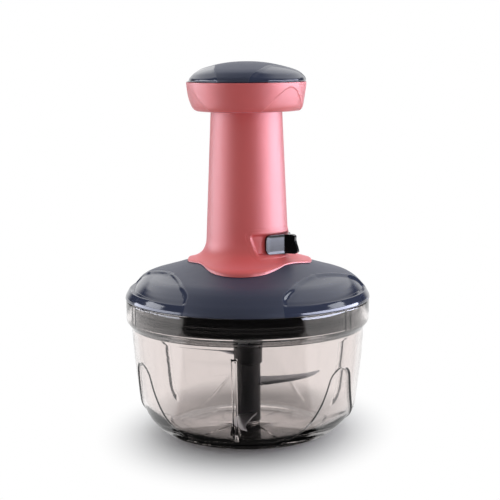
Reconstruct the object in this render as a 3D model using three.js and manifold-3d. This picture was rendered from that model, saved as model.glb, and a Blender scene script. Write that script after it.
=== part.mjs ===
// Push-down food chopper: a clear bowl with a pivoting blade shaft, and a lid that carries a sprung
// plunger. A twisted rod inside the plunger turns each push into turns of the blades.
// Millimetres, +Z up, origin at the centre of the bowl's foot, on the surface it stands on.
// Angles round the axis start at -Y, the front, and grow towards +X. The plunger is drawn locked down.

import * as THREE from 'three';
import { mergeVertices } from 'three/addons/utils/BufferGeometryUtils.js';
import Module from 'manifold-3d';

const wasm = await Module();
wasm.setup();

const { degToRad, smoothstep, lerp } = THREE.MathUtils;

// Sizes shared by the whole object
const lobeCount = 3;
const gap = 0.3;
const slidingGap = 0.4;
const overrun = 3;
const weldDistance = 0.001;
const stroke = 55;
const twistLead = 27.5;
const headTurn = degToRad(-6);

// Mesh density, in counts
const ridgeColumns = 3;
const facetColumns = 2;
const wideSides = 48;
const roundSides = 32;
const smallSides = 16;
const screwSides = 10;
const toothColumns = 3;
const arcSteps = 5;
const shortArcSteps = 3;

// Bowl. Its rim drives the lid too.

const rim = { radius: 68.1, wall: 2.4, height: 75.8, band: 15, ledgeDrop: 12.4 };
const bowlInset = { foot: 23.9, corner: 7.1, belt: 3, floor: 23.1 };

const bowl = {
  footRadius: rim.radius - bowlInset.foot,
  footWidth: 6,
  footRecess: 0.8,
  cornerRadius: rim.radius - bowlInset.corner,
  cornerHeight: 20,
  cornerShares: [[0.524, 0.175], [0.94, 0.45]],
  beltRadius: rim.radius - bowlInset.belt,
  beltHeight: rim.height - rim.band,
  bellyShares: [0.74, 1 / 2],
  rimStepHeight: 5.2,
  rimStepShares: [[0.53, 0.52], [0.83, 1]],
  ledgeHeight: rim.height - rim.ledgeDrop,
  wall: 2.6,
  floorHeight: 4.2,
  floorRadius: rim.radius - bowlInset.floor,
  bossRadius: 6.5,
  bossHeight: 1.1,
  pinHoleFloor: 2,
};

const archDrop = 16;

// The three arches pressed into the bowl's wall: half width in degrees at shares of their height
const bowlArch = {
  height: bowl.beltHeight - archDrop,
  outlineShares: [[0, 46], [0.1, 41], [0.15, 35.3], [0.18, 32], [0.25, 27], [0.36, 21.2], [0.5, 16.5],
    [0.7, 12.5], [0.85, 10.2], [0.93, 8.6], [0.985, 5.5], [1, 4]],
  rowShares: [0.2, 0.45, 0.7, 0.87, 0.96, 1],
  restHalfAngle: 12,
  flatness: 60,
  depth: 2.4,
  step: 0.6,
  band: 1.2,
  fadeHeight: 6,
};

const bowlRib = { width: 1.8, depth: 2.2, drop: 8.3, bury: 1.2 };
const rimRib = { width: 1.8, depth: 0.5 };

const pin = { radius: 2.5, length: 17 };

// Lid

const lidInset = { edge: -0.2, belly: -0.35, roll: 0.5, panel: 2.1, cone: 16.1, screws: 18.1 };

const lid = {
  edgeRadius: rim.radius - lidInset.edge,
  bellyRadius: rim.radius - lidInset.belly,
  bellyHeight: 1.2,
  rollRadius: rim.radius - lidInset.roll,
  rollHeight: 3.2,
  panelRadius: rim.radius - lidInset.panel,
  panelHeight: 5.8,
  domeShares: [[0.286, 0.55], [0.536, 0.77]],
  coneRadius: rim.radius - lidInset.cone,
  coneHeight: 15,
  coneSlope: 1 / 3,
  wall: 2.4,
};

const lidPanel = {
  height: 16.6,
  outlineShares: [[0, 34.5], [0.4, 35], [0.55, 33.5], [0.66, 30.5], [0.85, 22], [0.95, 11], [1, 5]],
  restHalfAngle: 12,
  flatness: 14,
  depth: 3,
  step: 1.2,
  band: 3,
};

const lidBase = {
  plateRoom: 1,
  plateThickness: 2.6,
  plateDrop: 2,
  skirtInset: 1.4,
  skirtWall: 2.2,
  skirtDrop: 9.8,
  hubWall: 2.4,
  hubDrop: 11.5,
};

const plateRadius = rim.radius - rim.wall - lidBase.plateRoom;
const skirtRadius = plateRadius - lidBase.skirtInset;

const seal = { room: 0.8, height: 3.4, lip: 0.6, drop: 9 };
const sealRadius = rim.radius - rim.wall - seal.room;

// Heights of the lid's parts

const lidSeat = rim.height + gap;
const plateBottom = lidSeat - lidBase.plateDrop;
const plateTop = plateBottom + lidBase.plateThickness;
const hubBottom = plateTop - lidBase.hubDrop;
const deckHeight = plateTop + gap;

// Plunger tube, and the sleeve and column round it, each from the one inside it

const tube = {
  radius: 14.6,
  wall: 1.8,
  flangeWidth: 0.9,
  flangeThickness: 3,
  rise: 31.9,
  plugThickness: 7,
};

const tubeBore = tube.radius - tube.wall;
const tubeFlangeRadius = tube.radius + tube.flangeWidth;
const tubeBottom = lidSeat + tube.rise;
const tubeFlangeTop = tubeBottom + tube.flangeThickness;

const sleeve = { wall: 1.5, flangeWidth: 1, flangeThickness: 2.2, headroom: 14 };

const sleeveBore = tubeFlangeRadius + slidingGap;
const sleeveRadius = sleeveBore + sleeve.wall;
const sleeveTop = tubeFlangeTop + stroke;
const flangeTop = deckHeight + sleeve.flangeThickness;

const stopRing = { bore: tube.radius + gap, radius: sleeveRadius - gap, thickness: 4.5 };

const casing = {
  wall: 2.1,
  sleeveRoom: 0.14,
  taper: 3.06,
  lowerWall: 2.3,
  shoulderRise: 34.9,
  spigotStep: 2.3,
  spigotWall: 4,
  notchReach: 7.2,
  lipWidth: 0.9,
  lipWidthFront: 3.6,
  lipHeight: 0.4,
  lipHeightFront: 1.9,
  lipCornerShares: [0.7, 0.35],
  flareShares: [0.66, 0.6],
  flareSlope: 0.22,
  collarOverlap: 3,
};

// The lobes of the casing's flare: the front one is broad and has the thicker lip
const flareLobes = [
  { theta: 0, reach: 11.9, flat: degToRad(8), foot: degToRad(45), lip: 1 },
  { theta: degToRad(120), reach: 7, flat: 0, foot: degToRad(28), lip: 0 },
  { theta: degToRad(-120), reach: 7, flat: 0, foot: degToRad(28), lip: 0 },
];

const columnBore = sleeveRadius + casing.sleeveRoom;
const columnRadius = columnBore + casing.wall;
const shoulderRadius = columnRadius + casing.taper;
const shoulderHeight = lidSeat + casing.shoulderRise;
const lowerBore = shoulderRadius - casing.lowerWall;
const spigotRadius = shoulderRadius + casing.spigotStep;
const spigotBore = spigotRadius - casing.spigotWall;
const spigotBottom = flangeTop + gap;
const notchRadius = spigotRadius + casing.notchReach;
const neckRadius = spigotRadius + gap;
const sleeveFlangeRadius = spigotRadius + sleeve.flangeWidth;

const guideBush = { radius: columnBore - gap, thickness: 6.5 };

// Knob

const collar = {
  openingRoom: 0.76,
  bottomWidth: 7.2,
  cornerWidth: 10.9,
  topWidth: 12.7,
  cornerHeight: 3.6,
  height: 15.9,
  sideShares: [0.75, 0.5],
  wall: 2.4,
  webHeight: 6.8,
  webThickness: 2.4,
  socketWall: 2,
};

const openingRadius = columnRadius + collar.openingRoom;
const collarRadius = openingRadius + collar.topWidth;
const collarBottom = sleeveTop + sleeve.headroom;
const casingTop = collarBottom + casing.collarOverlap;
const webBottom = collarBottom + collar.webHeight;
const tubeTop = webBottom - gap;

const collarFacet = {
  height: 14.9,
  outlineShares: [[0, 42], [0.2, 36], [0.36, 29], [0.54, 24], [0.75, 18.5], [0.91, 13], [0.98, 7], [1, 5]],
  flatness: 9,
  depth: 3,
  step: 0.25,
  band: 1,
};

const cap = {
  edgeInset: 0.05,
  shoulderInset: 1.5,
  shoulderHeight: 3.3,
  crownHeight: 10.9,
  crownShares: [[0.2, 0.42], [0.62, 1]],
  wall: 2.4,
  skirtHeight: 4,
  skirtWall: 1.8,
};

const capSeat = collarBottom + collar.height + gap;

const capFacet = {
  height: 9.2,
  outlineShares: [[0, 44.5], [0.35, 41.5], [0.56, 38], [0.8, 23], [0.92, 14], [1, 5]],
  restHalfAngle: 12,
  flatness: 5,
  depth: 3,
  step: 0.4,
  band: 1.5,
};

// Lock slider

const lock = {
  thetaCentre: degToRad(60),
  halfSweep: degToRad(29),
  travel: degToRad(20),
  rise: 26.5,
  height: 10.6,
  recessDepth: 0.7,
  plateThickness: 2.7,
  recessMargin: 0.4,
  recessLeft: degToRad(10),
  finReach: 10,
  finSaddle: 7.2,
  finThickness: 3,
  stemHalfAngle: degToRad(5),
  stemHeight: 2.6,
  latchHalfSweep: degToRad(14),
  latchThickness: 2,
  latchHeight: 7,
  tongueRoom: 0.7,
};

const lockBottom = lidSeat + lock.rise;
const lockTop = lockBottom + lock.height;
const lockMiddle = (lockBottom + lockTop) / 2;
const recessRadius = shoulderRadius - lock.recessDepth;
const lockRadius = recessRadius + gap;
const lockFace = lockRadius + lock.plateThickness;

// Drive line

const housing = {
  springRoom: 4.1,
  wall: 1.2,
  height: 20,
  topThickness: 2,
  shaftHole: 5.3,
};

const housingRadius = sleeveBore - housing.springRoom;
const housingFlangeRadius = sleeveBore - gap;
const spring = { wire: 1.3, sleeveRoom: 1.7, curls: 13, stepsPerCurl: 8, sides: 5 };

const clutch = { thickness: 5, toothHeight: 2, teeth: 6, toothRise: 0.92 };
const clutchRadius = housingRadius - housing.wall - slidingGap;
const lowerClutchTop = deckHeight + clutch.thickness;
const upperClutchBottom = lowerClutchTop + 3 * gap;
const upperClutchTop = upperClutchBottom + clutch.toothHeight + clutch.thickness;

const rod = { width: 6.6, thickness: 2.2, topRoom: 5.5, stepsPerTurn: 22, holderRadius: 5, holderHeight: 8 };
const holderTop = upperClutchTop + rod.holderHeight;
const rodBottom = upperClutchTop + gap;
const rodTop = tubeTop - tube.plugThickness - rod.topRoom;

const nut = { thickness: 5, slotClearance: 0.5 };

const coupler = { radius: 3.9, bushWall: 1.7, dogWidth: 3.2, dogLength: 10.4, dogHeight: 9 };
const couplerBore = coupler.radius + gap;
const hubBore = couplerBore + coupler.bushWall + gap;
const clip = { thickness: 1, radius: 6 };
const dogTop = hubBottom - 2 * gap - clip.thickness;

// Blade shaft and blades

const shaft = {
  wall: 4.1,
  jointShare: 0.505,
  boreDepth: 14.5,
  dogRoom: 0.5,
  socketWall: 1.9,
  socketDepth: 12.5,
  dogRibWidth: 2.4,
  dogRibReach: 3.4,
  dogRibDrop: 1.6,
};

const shaftBottom = bowl.floorHeight + bowl.bossHeight + gap;
const shaftJoint = rim.height * shaft.jointShare;
const shaftTop = dogTop;
const shaftBore = pin.radius + slidingGap;
const shaftRadius = shaftBore + shaft.wall;
const socketBore = coupler.dogLength / 2 + shaft.dogRoom;
const socketRadius = socketBore + shaft.socketWall;

const blade = {
  wallRoom: 14,
  rootWidth: 13,
  thickness: 1,
  tabWidth: 7,
  tabDepth: 3.2,
  heightShares: [0.5845, 0.359, 0.132],
  thetas: [degToRad(-118), degToRad(118), 0],
  outlineShares: [[0.15, -0.5], [0.45, -0.44], [0.78, -0.16], [1, 0.38], [0.72, 0.2], [0.42, 0.24],
    [0.15, 0.42]],
};

const bladeReach = bowl.cornerRadius - blade.wallRoom;
const bladeHeights = blade.heightShares.map((share) => share * rim.height);

// Screws

const screw = { headRadius: 2.8, headHeight: 1.8, shankRadius: 1.25, holeRadius: 1.55 };
const coverScrew = { circle: rim.radius - lidInset.screws, length: 12, bossRadius: 3.4 };
const columnScrew = { circle: (spigotRadius + spigotBore) / 2, length: 12 };
const headScrew = { headRadius: 4, headHeight: 2.2, shankRadius: 1.8, length: 8 };

const materials = {
  pink: { color: 0xe8868f, roughness: 0.42, metalness: 0 },
  slate: { color: 0x3b3e4a, roughness: 0.2, metalness: 0 },
  smoke: { color: 0xd8cfcd, roughness: 0.06, metalness: 0, transparent: true, opacity: 0.35 },
  black: { color: 0x15161a, roughness: 0.15, metalness: 0 },
  charcoal: { color: 0x3e4046, roughness: 0.4, metalness: 0 },
  natural: { color: 0xe6e4dc, roughness: 0.5, metalness: 0 },
  silicone: { color: 0x2e3036, roughness: 0.6, metalness: 0 },
  steel: { color: 0xc8cacd, roughness: 0.25, metalness: 1 },
};

// Helpers

function volumeOf(positions, index) {
  const a = new THREE.Vector3();
  const b = new THREE.Vector3();
  const c = new THREE.Vector3();
  let total = 0;
  for (let i = 0; i < index.length; i += 3) {
    a.fromBufferAttribute(positions, index[i]);
    b.fromBufferAttribute(positions, index[i + 1]);
    c.fromBufferAttribute(positions, index[i + 2]);
    total += a.dot(b.cross(c));
  }
  return total;
}

// One closed mesh with shared vertices, no triangles of zero area, and its faces pointing out
function weld(geometry) {
  const bare = geometry.clone();
  bare.deleteAttribute('normal');
  bare.deleteAttribute('uv');
  const merged = mergeVertices(bare, weldDistance);
  const source = merged.index.array;
  const kept = [];
  for (let i = 0; i < source.length; i += 3) {
    const [a, b, c] = [source[i], source[i + 1], source[i + 2]];
    if (a !== b && b !== c && c !== a) kept.push(a, b, c);
  }
  if (volumeOf(merged.attributes.position, kept) < 0) kept.reverse();
  merged.setIndex(kept);
  merged.computeVertexNormals();
  return merged;
}

function toSolid(geometry) {
  const welded = weld(geometry);
  return new wasm.Manifold(new wasm.Mesh({
    numProp: 3,
    vertProperties: Float32Array.from(welded.attributes.position.array),
    triVerts: Uint32Array.from(welded.index.array),
  }));
}

function toGeometry(solid) {
  const mesh = solid.getMesh();
  const geometry = new THREE.BufferGeometry();
  geometry.setAttribute('position', new THREE.BufferAttribute(mesh.vertProperties, 3));
  geometry.setIndex(new THREE.BufferAttribute(mesh.triVerts, 1));
  geometry.computeVertexNormals();
  return geometry;
}

function combine(base, { add = [], cut = [] }) {
  let solid = toSolid(base);
  for (const piece of add) solid = solid.add(toSolid(piece));
  for (const piece of cut) solid = solid.subtract(toSolid(piece));
  return toGeometry(solid);
}

function polar(radius, theta, z) {
  return new THREE.Vector3(radius * Math.sin(theta), -radius * Math.cos(theta), z);
}

// A closed outline of [radius, height] pairs turned round the axis
function turned(outline, sides = roundSides) {
  const points = outline.map(([r, z]) => new THREE.Vector2(r, z));
  if (outline[0][0] > 0 || outline.at(-1)[0] > 0) points.push(points[0].clone());
  return new THREE.LatheGeometry(points, sides).rotateX(Math.PI / 2);
}

function ring(bore, radius, z0, z1, sides = roundSides) {
  return turned([[bore, z0], [radius, z0], [radius, z1], [bore, z1]], sides);
}

function rodAt(radius, z0, z1, circle = 0, theta = 0, sides = smallSides) {
  const solid = new THREE.CylinderGeometry(radius, radius, z1 - z0, sides).rotateX(Math.PI / 2);
  const place = polar(circle, theta, (z0 + z1) / 2);
  return solid.translate(place.x, place.y, place.z);
}

// Part of a ring between two angles
function sector(r0, r1, theta0, theta1, z0, z1) {
  const start = theta0 - Math.PI / 2;
  const end = theta1 - Math.PI / 2;
  const shape = new THREE.Shape();
  shape.moveTo(r1 * Math.cos(start), r1 * Math.sin(start));
  shape.absarc(0, 0, r1, start, end, false);
  shape.lineTo(r0 * Math.cos(end), r0 * Math.sin(end));
  shape.absarc(0, 0, r0, end, start, true);
  shape.closePath();
  const options = { depth: z1 - z0, bevelEnabled: false, curveSegments: arcSteps + 1 };
  return new THREE.ExtrudeGeometry(shape, options).translate(0, 0, z0);
}

// A plate of even thickness standing along a radius, drawn as radius against height
function fin(shape, thickness, theta) {
  const options = { depth: thickness, bevelEnabled: false, curveSegments: arcSteps - 1 };
  const plate = new THREE.ExtrudeGeometry(shape, options).translate(0, 0, -thickness / 2);
  return plate.rotateX(Math.PI / 2).rotateZ(theta - Math.PI / 2);
}

function lobeThetas() {
  return Array.from({ length: lobeCount }, (_, i) => (i * 2 * Math.PI) / lobeCount);
}

function outlineAt(shares, share) {
  const last = shares.length - 1;
  if (share <= shares[0][0]) return shares[0][1];
  if (share >= shares[last][0]) return shares[last][1];
  const i = shares.findIndex(([at]) => at > share);
  const [a, b] = [shares[i - 1], shares[i]];
  return lerp(a[1], b[1], (share - a[0]) / (b[0] - a[0]));
}

// Facets: a body of revolution with three arched panels. The columns of its mesh bend so that one of
// them follows each panel's edge.

const columnsPerSector = 2 * (ridgeColumns + 1 + facetColumns);
const facetedColumns = columnsPerSector * lobeCount;

function columnOffset(step, halfAngle, bandAngle) {
  const ridge = Math.PI / lobeCount - halfAngle;
  const centre = Math.PI / lobeCount;
  if (step <= ridgeColumns) return (ridge * step) / ridgeColumns;
  const inside = halfAngle - bandAngle;
  return centre - inside * (1 - (step - ridgeColumns - 1) / facetColumns);
}

function columnTheta(column, halfAngle, bandAngle) {
  const lobe = Math.floor(column / columnsPerSector);
  const step = column - lobe * columnsPerSector;
  const half = columnsPerSector / 2;
  const start = (lobe * 2 * Math.PI) / lobeCount;
  if (step <= half) return start + columnOffset(step, halfAngle, bandAngle);
  return start + (2 * Math.PI) / lobeCount - columnOffset(columnsPerSector - step, halfAngle, bandAngle);
}

function facetDepth(row, theta, facet) {
  const sectorAngle = (2 * Math.PI) / lobeCount;
  const offset = Math.abs((theta % sectorAngle) - sectorAngle / 2);
  const inside = (row.halfAngle - offset) * row.r;
  if (inside <= 0 || row.fade === 0) return 0;
  const flat = facet.flatness;
  const edge = row.r ** 2 + 2 * row.r * flat * Math.cos(row.halfAngle) + flat ** 2;
  const arc = Math.sqrt(edge - (flat * Math.sin(offset)) ** 2) - flat * Math.cos(offset);
  const deepest = row.r + flat - Math.sqrt(edge);
  const share = Math.min(1, facet.depth / deepest);
  return row.fade * (facet.step * smoothstep(inside, 0, facet.band) + share * (row.r - arc));
}

// rows: { r, z, inwardR, inwardZ, halfAngle, fade }, the inward pair being the unit direction a panel
// is pressed in
function faceted(rows, facet, closed) {
  const points = rows.map((row) => new THREE.Vector2(row.r, row.z));
  if (closed) points.push(points[0].clone());
  const geometry = new THREE.LatheGeometry(points, facetedColumns);
  const position = geometry.attributes.position;
  for (let i = 0; i < position.count; i += 1) {
    const row = rows[(i % points.length) % rows.length];
    const column = Math.floor(i / points.length) % facetedColumns;
    const band = Math.min(facet.band / Math.max(row.r, facet.band), row.halfAngle / 2);
    const theta = columnTheta(column, row.halfAngle, band);
    const depth = facetDepth(row, theta, facet);
    const place = polar(row.r + row.inwardR * depth, theta, row.z + row.inwardZ * depth);
    position.setXYZ(i, place.x, place.y, place.z);
  }
  return geometry;
}

// The inward direction at each point of an outline that climbs the outside of a body
function withInward(points) {
  return points.map((point, i) => {
    const before = points[Math.max(i - 1, 0)];
    const after = points[Math.min(i + 1, points.length - 1)];
    const along = new THREE.Vector2(after[0] - before[0], after[1] - before[1]).normalize();
    return { r: point[0], z: point[1], inwardR: -along.y, inwardZ: along.x };
  });
}

function shifted(row, distance) {
  return { ...row, r: row.r + row.inwardR * distance, z: row.z + row.inwardZ * distance };
}

function curvePoints(from, controls, to, count) {
  const ends = [from, ...controls, to].map(([r, z]) => new THREE.Vector2(r, z));
  const Curve = ends.length === 3 ? THREE.QuadraticBezierCurve : THREE.CubicBezierCurve;
  return new Curve(...ends).getPoints(count).map((point) => [point.x, point.y]);
}

function between(from, to, shares) {
  return shares.map(([r, z]) => [lerp(from[0], to[0], r), lerp(from[1], to[1], z)]);
}

// Bowl

// The wall above the bowl's corner, with rows of points where the arches need them
function bowlWall(corner, belt) {
  const [control] = between(corner, belt, [bowl.bellyShares]);
  const ends = [corner, control, belt].map(([r, z]) => new THREE.Vector2(r, z));
  const curve = new THREE.QuadraticBezierCurve(...ends);
  const heights = bowlArch.rowShares.map((share) => lerp(corner[1], bowlArch.height, share));
  heights.push((bowlArch.height + belt[1]) / 2, belt[1]);
  return heights.map((z) => [curve.getPoint((z - corner[1]) / (belt[1] - corner[1])).x, z]);
}

function bowlOutside() {
  const foot = [bowl.footRadius, 0];
  const corner = [bowl.cornerRadius, bowl.cornerHeight];
  const belt = [bowl.beltRadius, bowl.beltHeight];
  const rimFoot = [rim.radius, bowl.beltHeight + bowl.rimStepHeight];
  return [
    ...curvePoints(foot, between(foot, corner, bowl.cornerShares), corner, arcSteps),
    ...bowlWall(corner, belt),
    ...between(belt, rimFoot, bowl.rimStepShares),
    [rim.radius, rim.height],
  ];
}

function bowlInside() {
  const floor = [bowl.floorRadius, bowl.floorHeight];
  const corner = [bowl.cornerRadius - bowl.wall, bowl.cornerHeight];
  const ledge = [bowl.beltRadius - bowl.wall, bowl.ledgeHeight - gap];
  const mouth = rim.radius - rim.wall;
  return [
    ...curvePoints(floor, between(floor, corner, bowl.cornerShares), corner, arcSteps - 1),
    ...bowlWall(corner, ledge),
    [mouth, bowl.ledgeHeight],
    [mouth, rim.height],
  ];
}

function bowlRows(points) {
  return withInward(points).map((row) => {
    const share = row.z / bowlArch.height;
    const halfAngle = share > 1 ? bowlArch.restHalfAngle : outlineAt(bowlArch.outlineShares, share);
    return {
      ...row,
      halfAngle: degToRad(halfAngle),
      fade: share < 1 ? smoothstep(row.z, 0, bowlArch.fadeHeight) : 0,
    };
  });
}

function plainRows(points, halfAngle) {
  return points.map(([r, z]) => ({ r, z, inwardR: 0, inwardZ: 0, halfAngle, fade: 0 }));
}

function bowlWallRib(theta) {
  const top = bowl.beltHeight - bowlRib.drop;
  const inner = bowlInside().filter(([, z]) => z >= bowl.floorHeight && z < top);
  const shape = new THREE.Shape();
  inner.forEach(([r, z], i) => (i ? shape.lineTo(r + bowlRib.bury, z) : shape.moveTo(r, z - bowlRib.bury)));
  const [topRadius, topHeight] = inner.at(-1);
  shape.lineTo(topRadius + bowlRib.bury, topHeight + bowlRib.depth);
  shape.lineTo(topRadius, topHeight + bowlRib.depth);
  [...inner].reverse().forEach(([r, z]) => shape.lineTo(r - bowlRib.depth, z));
  shape.closePath();
  return fin(shape, bowlRib.width, theta);
}

function bowlRimRib(theta) {
  const inner = rim.radius - rim.wall - rimRib.depth;
  const outer = rim.radius - rim.wall / 2;
  const half = rimRib.width / inner / 2;
  return sector(inner, outer, theta - half, theta + half, bowl.ledgeHeight - gap, rim.height - gap);
}

function bowlGeometry() {
  const footInner = bowl.footRadius - bowl.footWidth;
  const bossTop = bowl.floorHeight + bowl.bossHeight;
  const footAngle = degToRad(bowlArch.outlineShares[0][1]);
  const pinHole = pin.radius + gap;
  const rows = [
    ...plainRows([[0, bowl.footRecess], [footInner, bowl.footRecess], [footInner, 0]], footAngle),
    ...bowlRows(bowlOutside()),
    ...bowlRows(bowlInside()).reverse(),
    ...plainRows([[bowl.bossRadius, bowl.floorHeight], [bowl.bossRadius, bossTop]], footAngle),
    ...plainRows([[pinHole, bossTop], [pinHole, bowl.pinHoleFloor], [0, bowl.pinHoleFloor]], footAngle),
  ];
  const ribs = lobeThetas().map(bowlWallRib);
  const stops = lobeThetas().map((theta) => bowlRimRib(theta + Math.PI / lobeCount));
  return combine(faceted(rows, bowlArch, false), { add: [...ribs, ...stops] });
}

function pivotPinGeometry() {
  const foot = bowl.pinHoleFloor + gap;
  const top = foot + pin.length;
  const chamfer = pin.radius / 4;
  const outline = [[0, foot], [pin.radius, foot], [pin.radius, top - chamfer], [pin.radius - chamfer, top],
    [0, top]];
  return turned(outline, smallSides);
}

// Blade shaft and blades

function bladeSlot(index) {
  const z = bladeHeights[index];
  const half = blade.thickness / 2 + gap;
  const width = blade.tabWidth + 2 * gap;
  const depth = blade.tabDepth + gap;
  const reach = socketRadius + overrun;
  const slot = new THREE.BoxGeometry(reach - shaftRadius + depth, width, 2 * half);
  slot.translate((reach + shaftRadius - depth) / 2, 0, z);
  return slot.rotateZ(blade.thetas[index] - Math.PI / 2);
}

function bladeShaftGeometry() {
  const boreTop = shaftBottom + shaft.boreDepth;
  const body = turned([[0, boreTop], [shaftBore, boreTop], [shaftBore, shaftBottom],
    [shaftRadius, shaftBottom], [shaftRadius, shaftJoint], [0, shaftJoint]], smallSides * 2);
  return combine(body, { cut: [bladeSlot(1), bladeSlot(2)] });
}

function driveSocketGeometry() {
  const bottom = shaftJoint + gap;
  const floor = shaftTop - shaft.socketDepth;
  const body = turned([[0, bottom], [socketRadius, bottom], [socketRadius, shaftTop],
    [socketBore, shaftTop], [socketBore, floor], [0, floor]], smallSides * 2);
  const ribDepth = socketRadius - shaft.dogRibReach - gap;
  const ribs = [1, -1].map((side) => {
    const height = shaftTop - shaft.dogRibDrop - floor;
    const rib = new THREE.BoxGeometry(ribDepth, shaft.dogRibWidth, height);
    return rib.translate(side * (shaft.dogRibReach + ribDepth / 2), 0, floor + height / 2);
  });
  return combine(body, { add: ribs, cut: [bladeSlot(0)] });
}

function bladeGeometry(index) {
  const root = index === 0 ? socketRadius : shaftRadius;
  const inner = shaftRadius - blade.tabDepth;
  const half = blade.tabWidth / 2;
  const edge = blade.outlineShares.map(([along, across]) => new THREE.Vector2(
    along * bladeReach, across * blade.rootWidth));
  const shape = new THREE.Shape();
  shape.moveTo(inner, -half);
  shape.lineTo(root + gap, -half);
  shape.lineTo(edge[0].x, edge[0].y);
  shape.splineThru(edge.slice(1, 4));
  shape.splineThru(edge.slice(4));
  shape.lineTo(root + gap, half);
  shape.lineTo(inner, half);
  shape.closePath();
  const options = { depth: blade.thickness, bevelEnabled: false, curveSegments: arcSteps - 1 };
  const plate = new THREE.ExtrudeGeometry(shape, options);
  plate.translate(0, 0, bladeHeights[index] - blade.thickness / 2);
  return plate.rotateZ(blade.thetas[index] - Math.PI / 2);
}

// Lid

function lidOutside() {
  const foot = [lid.panelRadius, lid.panelHeight];
  const cone = [lid.coneRadius, lid.coneHeight];
  const onCone = (z) => [lid.coneRadius - (z - lid.coneHeight) / lid.coneSlope, z];
  const neckHeight = lid.coneHeight + (lid.coneRadius - neckRadius) * lid.coneSlope;
  return [
    [lid.edgeRadius, 0],
    [lid.bellyRadius, lid.bellyHeight],
    [lid.rollRadius, lid.rollHeight],
    ...curvePoints(foot, between(foot, cone, lid.domeShares), cone, arcSteps),
    onCone(lidPanel.height),
    onCone(lerp(lidPanel.height, neckHeight, 1 / 2)),
    [neckRadius, neckHeight],
  ];
}

// Height of the lid's cone above a radius
function lidTopAt(radius) {
  return lidSeat + lid.coneHeight + (lid.coneRadius - radius) * lid.coneSlope;
}

function lidRows() {
  return withInward(lidOutside()).map((row) => {
    const share = (row.z - lid.panelHeight) / (lidPanel.height - lid.panelHeight);
    const inPanel = share > 0 && share < 1;
    const halfAngle = share > 1 ? lidPanel.restHalfAngle : outlineAt(lidPanel.outlineShares, share);
    return {
      ...row,
      z: row.z + lidSeat,
      halfAngle: degToRad(halfAngle),
      fade: inPanel ? Math.sqrt(Math.sin(Math.PI * share)) : 0,
    };
  });
}

function lidCoverGeometry() {
  const outside = lidRows();
  const inside = outside.map((row) => shifted(row, lid.wall));
  inside[0] = { ...inside[0], r: outside[0].r - lid.wall, z: lidSeat };
  inside[1] = { ...inside[1], r: outside[1].r - lid.wall };
  const last = outside.length - 1;
  inside[last] = { ...inside[last], r: outside[last].r, z: outside[last].z - lid.wall };
  const shell = faceted([...outside, ...inside.reverse()], lidPanel, true);
  const bossBottom = plateTop + gap;
  const bossTop = lidTopAt(coverScrew.circle) - lid.wall / 2;
  const boss = (theta) => rodAt(coverScrew.bossRadius, bossBottom, bossTop, coverScrew.circle, theta);
  const pilotTop = plateBottom + coverScrew.length + gap;
  const pilots = screwHoles(coverScrew.circle, bossBottom, pilotTop - overrun);
  return combine(shell, { add: lobeThetas().map(boss), cut: pilots });
}

function lidBaseGeometry() {
  const hubRadius = hubBore + lidBase.hubWall;
  const skirtInner = skirtRadius - lidBase.skirtWall;
  const skirtBottom = lidSeat - lidBase.skirtDrop;
  const body = turned([
    [hubBore, hubBottom], [hubRadius, hubBottom], [hubRadius, plateBottom], [skirtInner, plateBottom],
    [skirtInner, skirtBottom], [skirtRadius, skirtBottom], [skirtRadius, plateBottom],
    [plateRadius, plateBottom], [plateRadius, plateTop], [hubBore, plateTop],
  ], wideSides);
  return combine(body, {
    cut: [coverScrew, columnScrew].flatMap(({ circle }) => screwHoles(circle, plateBottom, plateTop)),
  });
}

function sealGeometry() {
  const inner = skirtRadius + gap;
  const bottom = lidSeat - seal.drop;
  const top = bottom + seal.height;
  const waist = sealRadius - seal.lip;
  const middle = (bottom + top) / 2;
  const outline = [[inner, bottom], [sealRadius, bottom], [waist, middle], [sealRadius, top], [inner, top]];
  return turned(outline, wideSides);
}

function screwHoles(circle, z0, z1) {
  const hole = (theta) => rodAt(screw.holeRadius, z0 - overrun, z1 + overrun, circle, theta, screwSides);
  return lobeThetas().map(hole);
}

function screwGeometry(size, seat, circle, theta, direction = 1) {
  const tip = seat + direction * size.length;
  const head = seat - direction * size.headHeight;
  const bite = size.shankRadius / 2;
  const outline = [[0, head], [size.headRadius, head], [size.headRadius, seat], [size.shankRadius, seat],
    [size.shankRadius, tip - direction * bite], [bite, tip], [0, tip]];
  const place = polar(circle, theta, 0);
  return turned(outline, screwSides).translate(place.x, place.y, place.z);
}

// Column

function columnRadiusAt(z) {
  return lerp(shoulderRadius, columnRadius, (z - shoulderHeight) / (casingTop - shoulderHeight));
}

// How far the flare's edge reaches past the notches at an angle, and its share of the front lip
function lobeAt(theta) {
  let [reach, lip] = [0, 0];
  flareLobes.forEach((lobe) => {
    const away = Math.acos(Math.cos(theta - lobe.theta));
    const share = 1 - smoothstep(away, lobe.flat, lobe.foot);
    reach += lobe.reach * share;
    lip += lobe.lip * share;
  });
  return [reach, lip];
}

// The casing's flare at one angle, from the column down to its lobed edge on the lid
function flareAt(theta) {
  const [reach, front] = lobeAt(theta);
  const edgeRadius = notchRadius + reach;
  const edge = [edgeRadius, lidTopAt(edgeRadius) + gap];
  const lipRadius = edgeRadius - casing.lipWidth - casing.lipWidthFront * front;
  const lip = [lipRadius, lidTopAt(lipRadius) + gap + casing.lipHeight + casing.lipHeightFront * front];
  const top = [shoulderRadius, shoulderHeight];
  const [down, out] = casing.flareShares;
  const run = out * (lip[0] - top[0]);
  const controls = [[top[0], lerp(top[1], lip[1], down)], [lip[0] - run, lip[1] + run * casing.flareSlope]];
  const [corner] = between(lip, edge, [casing.lipCornerShares]);
  return [...curvePoints(top, controls, lip, arcSteps), corner, edge];
}

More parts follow.
